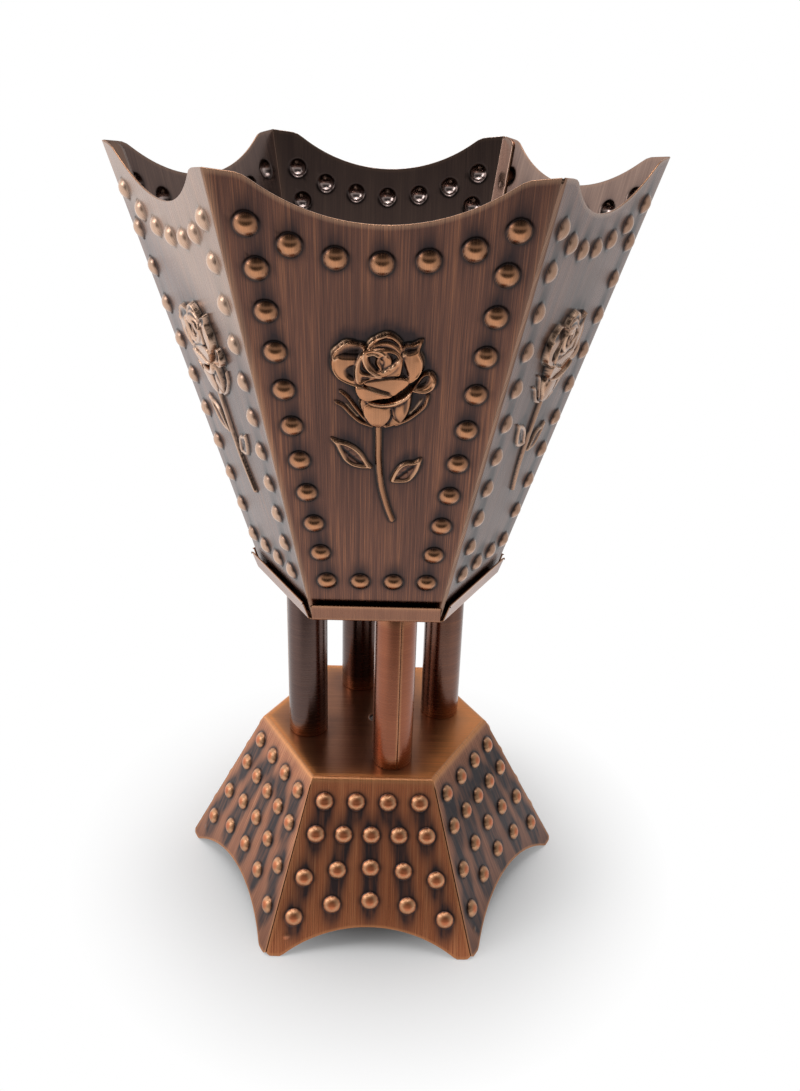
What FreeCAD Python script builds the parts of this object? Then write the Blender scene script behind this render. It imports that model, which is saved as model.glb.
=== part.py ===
import FreeCAD, Part
import math
import os

# Mabkhara incense burner. A flared six-sided bowl of embossed copper sheet stands in a shallow
# tray, four rolled tubes carry the tray, and a six-sided skirted base carries the tubes.
# A loose dish for the charcoal hangs inside the bowl. Sizes are in millimetres and degrees,
# +Z is up, and the origin lies on the floor below the centre. The front side faces -Y.

Vector = FreeCAD.Vector
up = Vector(0, 0, 1)

# Six-sided plan
sides = 6
side_angle = 360.0 / sides
front_side_azimuth = 270.0

# Stock shared by the folded pieces
sheet = 0.6
overrun = 20.0
fillet_finder = 0.01

# Base: one sheet folded down from a six-sided top
base_height = 73.0
base_top_radius = 53.4
base_foot_radius = 92.0
base_bend = 2.0
base_slit = 0.5
base_slit_below_top = 3.0
base_arch_rise = 14.0
base_arch_radius = 62.0
base_toe_radius = 5.0
base_toe_flat_depth = 0.3
base_tab_width = 9.0
base_tab_from_floor = 9.0
base_tab_from_top = 5.0
base_centre_hole = 4.5

# Bosses pressed out of the base flaps and the bowl
boss_diameter = 8.0
boss_height = 2.3

# Boss rows of a base flap, from the top one down
base_row_first = 10.6
base_row_pitch = 14.6
base_row_inset = 8.2
base_row_counts = (4, 5, 5, 5)
base_row_sags = (0.0, 0.0, 4.9, 8.0)

# Pillars: four rolled tubes in a square that is turned on the six-sided plan
pillar_count = 4
pillar_length = 80.3
pillar_diameter = 18.0
pillar_circle_radius = 32.4
pillar_turn = 15.0
pillar_seam = 0.3

# Tray
tray_margin = 1.6
tray_lip_rise = 8.2
tray_lip_lean = 19.0
tray_notch = 1.0

# Bowl: three sheets, each folded once into two sides and lapped over the next.
# The shares of the scalloped rim are shares of half a side's width at the horns.
bowl_sheet_count = 3
bowl_height = 176.1
bowl_foot_radius = 52.4
bowl_rim_radius = 106.5
bowl_bend = 1.2
rim_dip_share = 0.3005
rim_arc_share = 1.2582
horn_round = 10.0
horn_slope = 6.0
seam_setback = 0.9
seam_tab_width = 8.5
seam_tab_below_horn = 4.0
seam_tab_slant = 3.0
seam_tab_above_foot = 6.0
bowl_flange = 4.5
bowl_flange_setback = 3.0

# Boss pattern of a bowl side
bowl_boss_pitch = 14.5
rim_row_drop = 12.4
rim_row_inset = 11.9
rim_row_count = 7
side_row_inset = 9.6
side_row_count = 9
foot_row_height = 20.6
foot_row_count = 4

# Rose pressed out of each bowl side: its stem starts above the foot and bends to the right
rose_foot_level = 52.5
rose_height = 77.0
rose_relief = 3.2
# Petal domes: place along and up, radius, and height, as shares of the rose and of its relief
rose_petal_shares = (
    (0.013, 0.650, 0.130, 0.75),
    (-0.127, 0.844, 0.082, 0.65),
    (0.114, 0.857, 0.078, 0.65),
    (0.194, 0.779, 0.048, 0.45),
    (0.004, 0.877, 0.112, 1.00),
    (-0.013, 0.760, 0.104, 0.90),
)
rose_stem_shares = ((0.068, 0.0), (0.039, 0.090), (0.010, 0.215), (-0.003, 0.365), (0.0, 0.56))
rose_stem_thickness = 2.4
# Leaves: base, tip and width, as shares of the rose
rose_leaf_shares = (
    (-0.020, 0.312, -0.220, 0.469, 0.100),
    (0.045, 0.235, 0.195, 0.366, 0.095),
)
rose_leaf_relief = 1.3

# Tie bolts through the pillars
bolt_diameter = 5.0
bolt_hole_clearance = 0.25
bolt_head_flats = 8.0
bolt_head_height = 3.5
bolt_past_nut = 2.0
nut_height = 4.0
thread_clearance = 0.05
washer_thickness = 1.0

# Charcoal dish
dish_rim_radius = 56.0
dish_floor_radius = 38.0
dish_depth = 20.0
dish_wall = 0.8
dish_bead = 1.5
dish_corner = 4.0
dish_clearance = 0.3

# Levels and radii that follow
half_angle = math.radians(side_angle / 2)
apothem_share = math.cos(half_angle)
tray_under = base_height + pillar_length
tray_top = tray_under + sheet
horn_top = tray_top + bowl_height
tray_radius = bowl_foot_radius + tray_margin
bolt_radius = bolt_diameter / 2
bolt_hole_radius = bolt_radius + bolt_hole_clearance
boss_radius = boss_diameter / 2
washer_radius = pillar_diameter / 2
rim_dip = rim_dip_share * bowl_rim_radius * math.sin(half_angle)
rim_arc_radius = rim_arc_share * bowl_rim_radius * math.sin(half_angle)


class Side:
    """One flat side of a six-sided flared wall: u runs along it, s up its slope, w out of it."""

    def __init__(self, azimuth, foot_radius, foot_z, head_radius, head_z):
        turn = math.radians(azimuth)
        outward = Vector(math.cos(turn), math.sin(turn), 0)
        rise = head_z - foot_z
        flare = (head_radius - foot_radius) * apothem_share
        self.length = math.hypot(rise, flare)
        self.foot_half = foot_radius * math.sin(half_angle)
        self.head_half = head_radius * math.sin(half_angle)
        self.origin = outward * (foot_radius * apothem_share) + up * foot_z
        self.u = Vector(-math.sin(turn), math.cos(turn), 0)
        self.s = (outward * flare + up * rise) / self.length
        self.w = self.u.cross(self.s)

    def half_width(self, s):
        return self.foot_half + (self.head_half - self.foot_half) * s / self.length

    def place(self, shape):
        """Carry a shape drawn in u, s, w to this side."""
        u, s, w, o = self.u, self.s, self.w, self.origin
        matrix = FreeCAD.Matrix(u.x, s.x, w.x, o.x, u.y, s.y, w.y, o.y, u.z, s.z, w.z, o.z)
        placed = shape.copy()
        placed.Placement = FreeCAD.Placement(matrix).multiply(shape.Placement)
        return placed


def line(a, b):
    return Part.LineSegment(Vector(a[0], a[1], 0), Vector(b[0], b[1], 0)).toShape()


def arc(a, middle, b):
    points = [Vector(p[0], p[1], 0) for p in (a, middle, b)]
    return Part.Arc(*points).toShape()


def polygon(points):
    return Part.Face(Part.makePolygon([Vector(p[0], p[1], 0) for p in points + points[:1]]))


def plate(face, low, high):
    """Thicken a flat outline from one w to another."""
    raised = face.copy()
    raised.translate(up * low)
    return raised.extrude(up * (high - low))


def turned(shape, degrees):
    copy = shape.copy()
    copy.rotate(Vector(0, 0, 0), up, degrees)
    return copy


def moved(shape, x, y, z):
    copy = shape.copy()
    copy.translate(Vector(x, y, z))
    return copy


def hexagon(radius, z):
    corners = []
    for i in range(sides):
        turn = math.radians(i * side_angle)
        corners.append(Vector(radius * math.cos(turn), radius * math.sin(turn), z))
    return corners


def frustum(low_radius, low_z, high_radius, high_z):
    """Solid six-sided block whose sides lean evenly."""
    ring = hexagon(max(low_radius, high_radius), low_z)
    block = Part.Face(Part.makePolygon(ring + ring[:1])).extrude(up * (high_z - low_z))
    azimuths = [(i + 0.5) * side_angle for i in range(sides)]
    walls = [Side(a, low_radius, low_z, high_radius, high_z) for a in azimuths]
    return block.cut([outside_of(wall, 0) for wall in walls]).Solids[0]


def outside_of(side, w):
    """Block of everything beyond the level w of a side."""
    wide = side.foot_half + side.head_half + overrun
    block = Part.makeBox(2 * wide, side.length + 2 * overrun, wide)
    return side.place(moved(block, -wide, -overrun, w))


def edges_near(shape, wanted):
    """Edges of a shape whose middle lies at one of the wanted points."""
    found = []
    for edge in shape.Edges:
        middle = edge.valueAt((edge.FirstParameter + edge.LastParameter) / 2)
        if any(middle.distanceToPoint(p) < fillet_finder * boss_diameter for p in wanted):
            found.append(edge)
    return found


def dome(u, s, radius, height, w_floor, skin=0.0):
    """Round dome on a side, above the level w_floor, less a skin when it is the hollow."""
    sphere = (radius ** 2 + height ** 2) / (2 * height)
    centre_w = height - sphere
    latitude = math.degrees(math.asin((w_floor - centre_w) / (sphere - skin)))
    return Part.makeSphere(sphere - skin, Vector(u, s, centre_w), up, latitude, 90, 360)


def emboss(shape, placed_domes, extra=()):
    """Press hollow domes out of a folded sheet. Each is a side with its u, s, radius and height."""
    domes, hollows = list(extra), []
    for side, u, s, radius, height in placed_domes:
        domes.append(side.place(dome(u, s, radius, height, -sheet / 2)))
        hollows.append(side.place(dome(u, s, radius, height, -2 * sheet, sheet)))
    return shape.fuse(domes).cut(hollows)


def bosses(places):
    return [(side, u, s, boss_radius, boss_height) for side, u, s in places]


def tangent_round(centre, radius, rounding, along):
    """Where a small convex round meets a big arc, from the two circle centres."""
    share = radius / (radius + rounding)
    return (centre[0] + (along[0] - centre[0]) * share, centre[1] + (along[1] - centre[1]) * share)


# Base

def base_side(azimuth):
    return Side(azimuth, base_foot_radius, 0, base_top_radius, base_height)


def base_inner_radius(z):
    lean = math.atan2((base_foot_radius - base_top_radius) * apothem_share, base_height)
    outer = base_foot_radius + (base_top_radius - base_foot_radius) * z / base_height
    return outer - sheet / math.cos(lean) / apothem_share


def base_arch(side):
    """Opening below the scalloped edge of a flap, with a rounded toe at each end."""
    centre = (0, base_arch_rise - base_arch_radius)
    toe_s = base_toe_radius - base_toe_flat_depth
    reach = base_arch_radius + base_toe_radius
    toe = (math.sqrt(reach ** 2 - (toe_s - centre[1]) ** 2), toe_s)
    join = tangent_round(centre, base_arch_radius, base_toe_radius, toe)
    out = toe[0] + base_toe_radius
    edges = [
        arc((-join[0], join[1]), (0, base_arch_rise), join),
        arc(join, (toe[0], toe[1] - base_toe_radius), (out, toe[1])),
        line((out, toe[1]), (out, -overrun)),
        line((out, -overrun), (-out, -overrun)),
        line((-out, -overrun), (-out, toe[1])),
        arc((-out, toe[1]), (-toe[0], toe[1] - base_toe_radius), (-join[0], join[1])),
    ]
    return side.place(plate(Part.Face(Part.Wire(edges)), -3 * sheet, 2 * sheet))


def base_boss_places(side):
    places = []
    for row, count in enumerate(base_row_counts):
        height = side.length - base_row_first - row * base_row_pitch
        sag = base_row_sags[row]
        reach = side.half_width(height - sag) - base_row_inset
        for i in range(count):
            along = 2 * i / (count - 1) - 1
            places.append((side, reach * along, height - sag * along ** 2))
    return places


def base_corner_slit(azimuth):
    """Thin open joint between two flaps."""
    top = base_height - base_slit_below_top
    box = Part.makeBox(base_foot_radius, base_slit, top + overrun)
    return turned(moved(box, base_top_radius - base_bend, -base_slit / 2, -overrun), azimuth)


def base_corner_tab(azimuth):
    """Strip folded from one flap to lie behind the next one, across the slit."""
    side = base_side(azimuth + side_angle / 2)
    before = base_side(azimuth - side_angle / 2)
    low, high = base_tab_from_floor, side.length - base_tab_from_top
    outline = [
        (-side.half_width(low) - base_tab_width, low),
        (-side.half_width(low) + base_tab_width, low),
        (-side.half_width(high) + base_tab_width, high),
        (-side.half_width(high) - base_tab_width, high),
    ]
    strip = side.place(plate(polygon(outline), -2 * sheet, -sheet))
    return strip.cut(outside_of(before, 0))


def bolt_places():
    places = []
    for i in range(pillar_count):
        turn = math.radians(front_side_azimuth + pillar_turn + i * 360.0 / pillar_count)
        places.append((pillar_circle_radius * math.cos(turn), pillar_circle_radius * math.sin(turn)))
    return places


def upright(radius, low, high, x=0, y=0):
    return Part.makeCylinder(radius, high - low, Vector(x, y, low))


def make_base_shell():
    outer = frustum(base_foot_radius, 0, base_top_radius, base_height)
    outer = outer.makeFillet(base_bend, edges_near(outer, hexagon_middles(base_top_radius, base_height)))
    ceiling = base_height - sheet
    cut_radius = base_inner_radius(ceiling)
    inner = frustum(base_inner_radius(-overrun), -overrun, cut_radius, ceiling)
    inner = inner.makeFillet(base_bend - sheet, edges_near(inner, hexagon_middles(cut_radius, ceiling)))
    shell = outer.cut(inner)
    azimuths = [i * side_angle for i in range(sides)]
    flaps = [base_side(a + side_angle / 2) for a in azimuths]
    shell = shell.cut([base_corner_slit(a) for a in azimuths] + [base_arch(f) for f in flaps])
    shell = shell.fuse([base_corner_tab(a) for a in azimuths])
    holes = [upright(bolt_hole_radius, ceiling - overrun, base_height + overrun, x, y)
             for x, y in bolt_places()]
    holes.append(upright(base_centre_hole / 2, ceiling - overrun, base_height + overrun))
    shell = shell.cut(holes)
    return emboss(shell, bosses([place for flap in flaps for place in base_boss_places(flap)]))


def hexagon_middles(radius, z):
    corners = hexagon(radius, z)
    return [(corners[i] + corners[(i + 1) % sides]) * 0.5 for i in range(sides)]


# Pillars

def make_pillar(x, y):
    """Rolled tube with an open seam along it, turned to the outside of the square."""
    radius = pillar_diameter / 2
    tube = upright(radius, base_height, tray_under, x, y)
    tube = tube.cut(upright(radius - sheet, base_height - overrun, tray_under + overrun, x, y))
    seam = Part.makeBox(pillar_diameter, pillar_seam, pillar_length + 2 * overrun)
    seam = moved(seam, 0, -pillar_seam / 2, base_height - overrun)
    seam = turned(seam, math.degrees(math.atan2(y, x)))
    return tube.cut(moved(seam, x, y, 0))


# Tray

def tray_side(azimuth):
    flare = tray_lip_rise * math.tan(math.radians(tray_lip_lean)) / apothem_share
    return Side(azimuth, tray_radius, tray_under, tray_radius + flare, tray_under + tray_lip_rise)


def make_bowl_tray():
    ring = hexagon(tray_radius, tray_under)
    tray = Part.Face(Part.makePolygon(ring + ring[:1])).extrude(up * sheet)
    lips = []
    for i in range(sides):
        side = tray_side((i + 0.5) * side_angle)
        half = side.foot_half - tray_notch
        outline = [(-half, 0), (half, 0), (half, side.length), (-half, side.length)]
        lips.append(side.place(plate(polygon(outline), -sheet, 0)))
    tray = tray.fuse(lips)
    holes = [upright(bolt_hole_radius, tray_under - overrun, tray_top + overrun, x, y)
             for x, y in bolt_places()]
    return tray.cut(holes)


# Bowl

def bowl_side(azimuth):
    return Side(azimuth, bowl_foot_radius, tray_top, bowl_rim_radius, horn_top)


def bowl_wall_lean():
    return math.atan2((bowl_rim_radius - bowl_foot_radius) * apothem_share, bowl_height)


def bowl_inner_radius(z):
    outer = bowl_foot_radius + (bowl_rim_radius - bowl_foot_radius) * (z - tray_top) / bowl_height
    return outer - sheet / math.cos(bowl_wall_lean()) / apothem_share


def rounded_block(low_radius, low_z, high_radius, high_z, bend):
    """Solid six-sided block whose corner at azimuth 0 is rounded."""
    block = frustum(low_radius, low_z, high_radius, high_z)
    middle = Vector((low_radius + high_radius) / 2, 0, (low_z + high_z) / 2)
    return block.makeFillet(bend, edges_near(block, [middle]))


def rim_cutter(side):
    """Everything above the scalloped rim of a side, with a rounded horn at each corner."""
    slope = math.radians(horn_slope)
    centre = (0, side.length - rim_dip + rim_arc_radius)
    inward = (-math.cos(slope), -math.sin(slope))
    start = (side.head_half + horn_round * math.sin(slope) - centre[0],
             side.length - horn_round * math.cos(slope) - centre[1])
    reach = rim_arc_radius + horn_round
    lean = start[0] * inward[0] + start[1] * inward[1]
    run = -lean - math.sqrt(lean ** 2 - start[0] ** 2 - start[1] ** 2 + reach ** 2)
    round_centre = (centre[0] + start[0] + run * inward[0], centre[1] + start[1] + run * inward[1])
    join = tangent_round(centre, rim_arc_radius, horn_round, round_centre)
    land = (side.head_half + run * inward[0], side.length + run * inward[1])
    top = horn_round * math.sin((slope + math.asin(join[0] / rim_arc_radius)) / 2)
    bulge = (round_centre[0] - top,
             round_centre[1] + math.sqrt(horn_round ** 2 - top ** 2))
    horn = (side.head_half, side.length)
    high = side.length + overrun
    right = [
        arc(join, bulge, land),
        line(land, horn),
        line(horn, (horn[0] + overrun, high)),
    ]
    left = [
        line((-horn[0] - overrun, high), (-horn[0], horn[1])),
        line((-horn[0], horn[1]), (-land[0], land[1])),
        arc((-land[0], land[1]), (-bulge[0], bulge[1]), (-join[0], join[1])),
    ]
    scallop = arc((-join[0], join[1]), (0, side.length - rim_dip), join)
    top_line = line((horn[0] + overrun, high), (-horn[0] - overrun, high))
    wire = Part.Wire([scallop] + right + [top_line] + left)
    return side.place(plate(Part.Face(wire), -4 * sheet, 2 * sheet))


def bowl_boss_places(side):
    """Rim row on an arc, a row down each corner and a row along the foot."""
    places = []
    row_radius = rim_arc_radius + rim_row_drop
    row_centre = side.length - rim_dip + rim_arc_radius
    row_turn = math.asin((side.head_half - rim_row_inset) / row_radius)
    for i in range(rim_row_count):
        turn = row_turn * (2 * i / (rim_row_count - 1) - 1)
        places.append((side, row_radius * math.sin(turn), row_centre - row_radius * math.cos(turn)))
    for i in range(1, side_row_count + 1):
        s = foot_row_height + i * bowl_boss_pitch
        u = side.half_width(s) - side_row_inset
        places += [(side, -u, s), (side, u, s)]
    reach = side.half_width(foot_row_height) - side_row_inset
    for i in range(foot_row_count):
        places.append((side, reach * (2 * i / (foot_row_count - 1) - 1), foot_row_height))
    return places


def rose_place(u_share, s_share):
    return Vector(rose_height * u_share, rose_foot_level + rose_height * s_share, 0)


def rose_petals(side):
    petals = []
    for u_share, s_share, radius_share, relief_share in rose_petal_shares:
        middle = rose_place(u_share, s_share)
        petals.append((side, middle.x, middle.y, rose_height * radius_share, rose_relief * relief_share))
    return petals


def rose_stem_and_leaves(side):
    """Round stem in straight runs and two pointed leaves, half sunk in the sheet."""
    radius = rose_stem_thickness / 2
    points = [rose_place(*share) for share in rose_stem_shares]
    stem = Part.makeSphere(radius, points[0])
    for a, b in zip(points, points[1:]):
        run = Part.makeCylinder(radius, a.distanceToPoint(b), a, b - a)
        stem = stem.fuse(run).fuse(Part.makeSphere(radius, b))
    pieces = [stem.common(plate_between(side, -sheet / 2, rose_relief))]
    for base_u, base_s, tip_u, tip_s, width_share in rose_leaf_shares:
        base, tip = rose_place(base_u, base_s), rose_place(tip_u, tip_s)
        pieces.append(rose_leaf(base, tip, rose_height * width_share))
    return [side.place(piece) for piece in pieces]


def plate_between(side, low, high):
    """Flat block over a whole side between two levels, in the side's own u, s, w."""
    wide = side.head_half
    return moved(Part.makeBox(2 * wide, side.length, high - low), -wide, 0, low)


def rose_leaf(base, tip, width):
    """Pointed leaf: what two round domes have in common."""
    half_length = base.distanceToPoint(tip) / 2
    across = (tip - base).cross(up).normalize()
    radius = (half_length ** 2 + (width / 2) ** 2) / width
    offset = radius - width / 2
    middle = (base + tip) * 0.5
    height = rose_leaf_relief * radius / (width / 2)
    pair = [dome(p.x, p.y, radius, min(height, radius), -sheet / 2)
            for p in (middle + across * offset, middle - across * offset)]
    return pair[0].common(pair[1])


def seam_tab(side):
    """Strip folded from the next sheet's first side to lie behind this side's far edge."""
    low = seam_tab_above_foot
    high = side.length - seam_tab_below_horn
    inner_high = high - seam_tab_slant
    outline = [
        (side.half_width(low) - seam_tab_width, low),
        (side.half_width(low) + seam_tab_width, low),
        (side.half_width(high) + seam_tab_width, high),
        (side.half_width(high), high),
        (side.half_width(inner_high) - seam_tab_width, inner_high),
    ]
    return side.place(plate(polygon(outline), -2 * sheet, -sheet))


def bowl_flange_strip(azimuth):
    """Foot of a side, turned inward to lie flat on the tray."""
    outer = bowl_foot_radius * apothem_share
    half = bowl_foot_radius / 2 - bowl_flange_setback
    inner_half = half - bowl_flange * math.tan(half_angle)
    outline = [(outer, -half), (outer, half), (outer - bowl_flange, inner_half),
               (outer - bowl_flange, -inner_half)]
    strip = polygon(outline).extrude(up * sheet)
    return turned(moved(strip, 0, 0, tray_top), azimuth)


def make_bowl_sheet():
    """Two sides folded from one sheet. The fold lies at azimuth 0, with a side before and after."""
    before, first, second, after = [bowl_side((i - 1.5) * side_angle) for i in range(4)]
    outer = rounded_block(bowl_foot_radius, tray_top, bowl_rim_radius, horn_top, bowl_bend)
    low, high = tray_top - overrun, horn_top + overrun
    inner = rounded_block(
        bowl_inner_radius(low), low, bowl_inner_radius(high), high, bowl_bend - sheet)
    wide = bowl_rim_radius + overrun
    behind = moved(Part.makeBox(wide, 2 * wide, bowl_height + overrun), -wide, -wide, tray_top)
    folded = outer.cut([inner, behind])
    folded = folded.cut([outside_of(before, -sheet), outside_of(after, -seam_setback)])
    folded = folded.fuse(seam_tab(before).cut(outside_of(first, 0)))
    folded = folded.fuse([bowl_flange_strip(-side_angle / 2), bowl_flange_strip(side_angle / 2)])
    folded = folded.cut([rim_cutter(first), rim_cutter(second)])
    domes = bosses(bowl_boss_places(first) + bowl_boss_places(second))
    domes += rose_petals(first) + rose_petals(second)
    return emboss(folded, domes, rose_stem_and_leaves(first) + rose_stem_and_leaves(second))


# Tie bolts

def hexagon_block(flats, low, high, x, y):
    radius = flats / 2 / apothem_share
    ring = [Vector(p.x + x, p.y + y, p.z) for p in hexagon(radius, low)]
    return Part.Face(Part.makePolygon(ring + ring[:1])).extrude(up * (high - low))


def make_tie_bolt(x, y):
    seat = tray_top + washer_thickness
    low = base_height - sheet - washer_thickness - nut_height - bolt_past_nut
    return upright(bolt_radius, low, seat, x, y).fuse(
        hexagon_block(bolt_head_flats, seat, seat + bolt_head_height, x, y))


def make_nut(x, y):
    high = base_height - sheet - washer_thickness
    block = hexagon_block(bolt_head_flats, high - nut_height, high, x, y)
    return block.cut(upright(bolt_radius + thread_clearance, high - overrun, high + overrun, x, y))


def make_washer(low, x, y):
    ring = upright(washer_radius, low, low + washer_thickness, x, y)
    return ring.cut(upright(bolt_hole_radius, low - overrun, low + overrun, x, y))


# Charcoal dish

def dish_bead_level():
    """Height at which the bead of the dish meets the six leaning walls."""
    lean = bowl_wall_lean()
    wall = (dish_rim_radius - dish_bead) + (dish_bead + dish_clearance) / math.cos(lean)
    inside_foot = bowl_foot_radius * apothem_share - sheet / math.cos(lean)
    return tray_top + (wall - inside_foot) / math.tan(lean)


def make_charcoal_dish():
    """Pressed round dish with a flat floor, a flared wall and a rolled bead."""
    bead_level = dish_bead_level()
    floor_level = bead_level - dish_depth
    bead_centre = dish_rim_radius - dish_bead
    lean = math.atan2(bead_centre - dish_floor_radius, dish_depth)
    thick = dish_wall / math.cos(lean)
    lift = dish_wall * (1 - math.sin(lean)) / math.cos(lean)
    points = [
        Vector(0, 0, floor_level),
        Vector(dish_floor_radius, 0, floor_level),
        Vector(bead_centre, 0, bead_level),
        Vector(bead_centre - thick, 0, bead_level),
        Vector(dish_floor_radius - lift, 0, floor_level + dish_wall),
        Vector(0, 0, floor_level + dish_wall),
    ]
    profile = Part.Face(Part.makePolygon(points + points[:1]))
    body = profile.revolve(Vector(0, 0, 0), up, 360)
    body = body.makeFillet(dish_corner, ring_edges(body, floor_level))
    body = body.makeFillet(dish_corner - dish_wall, ring_edges(body, floor_level + dish_wall))
    bead = Part.makeTorus(bead_centre, dish_bead, Vector(0, 0, bead_level), up)
    return body.fuse(bead)


def ring_edges(body, level):
    """Circular edges of a turned body at one height."""
    found = []
    for edge in body.Edges:
        box = edge.BoundBox
        if box.ZLength < fillet_finder and abs(box.ZMin - level) < fillet_finder:
            if box.XLength > dish_floor_radius:
                found.append(edge)
    return found


def export(name, shape):
    """Write one named piece, or a group of like pieces, to its own file."""
    shape = shape.removeSplitter()
    solids = shape.Solids
    print(name, "solids", len(solids), "valid", shape.isValid(), "volume", round(shape.Volume, 2))
    result = solids[0] if len(solids) == 1 else Part.Compound(solids)
    result.exportStep(os.path.join("parts", name + ".step"))


os.makedirs("parts", exist_ok=True)

export("base_shell", make_base_shell())
for name, place in zip(("pillar_front", "pillar_right", "pillar_back", "pillar_left"), bolt_places()):
    export(name, make_pillar(*place))
export("bowl_tray", make_bowl_tray())
bowl_sheet = make_bowl_sheet()
for i, name in enumerate(("bowl_sheet_right", "bowl_sheet_back", "bowl_sheet_front")):
    export(name, turned(bowl_sheet, i * 360.0 / bowl_sheet_count))
export("tie_bolts", Part.Compound([make_tie_bolt(x, y) for x, y in bolt_places()]))
export("tie_nuts", Part.Compound([make_nut(x, y) for x, y in bolt_places()]))
export("tray_washers", Part.Compound([make_washer(tray_top, x, y) for x, y in bolt_places()]))
washer_low = base_height - sheet - washer_thickness
export("base_washers", Part.Compound([make_washer(washer_low, x, y) for x, y in bolt_places()]))
export("charcoal_dish", make_charcoal_dish())
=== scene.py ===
import bpy
import bmesh
import math
import numpy as np
from mathutils import Matrix, Vector


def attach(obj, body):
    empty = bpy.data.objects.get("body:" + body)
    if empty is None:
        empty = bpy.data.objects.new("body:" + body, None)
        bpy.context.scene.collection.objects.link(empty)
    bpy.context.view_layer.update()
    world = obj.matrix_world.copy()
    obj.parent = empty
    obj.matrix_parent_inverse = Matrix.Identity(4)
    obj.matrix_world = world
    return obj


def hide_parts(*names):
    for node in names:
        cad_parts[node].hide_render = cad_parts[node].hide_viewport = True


# Mabkhara incense burner in brushed antique copper. Each side of the bowl and of the base is
# made as its flat pattern, with its bosses and rose pressed into it, and is then folded.
# Sizes are in millimetres and angles in degrees, as in the solids.

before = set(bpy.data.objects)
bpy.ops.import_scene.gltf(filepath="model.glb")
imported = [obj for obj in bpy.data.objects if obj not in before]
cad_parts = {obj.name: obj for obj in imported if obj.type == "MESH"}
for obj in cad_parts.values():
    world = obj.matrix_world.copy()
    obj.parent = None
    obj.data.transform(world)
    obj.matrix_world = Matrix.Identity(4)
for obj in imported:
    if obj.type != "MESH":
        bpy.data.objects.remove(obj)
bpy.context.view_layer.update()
scene = bpy.context.scene
mm = 0.001
in_mm = Matrix.Scale(1 / mm, 4)

sheet = 0.6
hexagon_turn = 60.0
slope30 = math.tan(math.radians(30))
share30 = math.cos(math.radians(30))

base_height, base_top_radius, base_foot_radius = 73.0, 53.4, 92.0
base_bend, base_slit, base_slit_top = 2.0, 0.5, 70.0
base_row_first, base_row_pitch, base_row_inset = 10.6, 14.6, 8.2
arch_rise, arch_radius, toe_radius, toe_flat = 14.0, 62.0, 5.0, 0.3
strip_width, strip_foot, strip_drop = 9.0, 9.0, 5.0
tray_under, tray_radius, lip_rise, lip_lean, lip_notch = 153.3, 54.0, 8.2, 19.0, 1.0
tray_top = tray_under + sheet
bowl_foot_radius, bowl_rim_radius, horn_top = 52.4, 106.5, 330.0
bowl_bend, rim_dip, rim_radius, horn_round, horn_slope = 1.2, 16.0, 67.0, 10.0, 6.0
bowl_row_first, bowl_row_pitch, bowl_row_inset = 20.6, 14.5, 9.6
rim_row_drop, rim_row_inset, rim_row_count = 12.4, 11.9, 7
rim_inset = 0.17
seam_setback, tab_width, tab_foot, tab_drop, tab_round = 0.9, 8.5, 5.2, 1.3, 5.0
pillar_radius, pillar_circle, pillar_seam = 9.0, 32.4, 0.3
pillar_turns = {"front": 285, "right": 15, "back": 105, "left": 195}
boss_radius, boss_height = 4.0, 2.3
net_step = 0.2


class Side:
    """One flat side of a six-sided flared wall: u runs along it, s up its slope, w out of it."""

    def __init__(self, azimuth, foot_radius, foot_z, head_radius, head_z):
        turn = math.radians(azimuth)
        outward = Vector((math.cos(turn), math.sin(turn), 0))
        rise, flare = head_z - foot_z, (head_radius - foot_radius) * share30
        self.length = math.hypot(rise, flare)
        self.foot_half, self.head_half = foot_radius / 2, head_radius / 2
        self.apothem, self.flare = foot_radius * share30, flare / self.length
        self.rise = rise / self.length
        u = Vector((-math.sin(turn), math.cos(turn), 0))
        s = outward * self.flare + Vector((0, 0, self.rise))
        w = u.cross(s)
        o = outward * self.apothem + Vector((0, 0, foot_z))
        rows = [[mm * u[i], mm * s[i], mm * w[i], mm * o[i]] for i in range(3)]
        self.matrix = Matrix(rows + [[0, 0, 0, 1]])

    def half(self, s):
        return self.foot_half + (self.head_half - self.foot_half) * s / self.length


def bowl_side(azimuth):
    return Side(azimuth, bowl_foot_radius, tray_top, bowl_rim_radius, horn_top)


def base_side(azimuth):
    return Side(azimuth, base_foot_radius, 0, base_top_radius, base_height)


def tray_side(azimuth):
    flare = lip_rise * math.tan(math.radians(lip_lean)) / share30
    return Side(azimuth, tray_radius, tray_under, tray_radius + flare, tray_under + lip_rise)


def smooth(t):
    t = np.clip(t, 0, 1)
    return t * t * (3 - 2 * t)


# The pressed relief, drawn on a fine net in u and s

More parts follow.
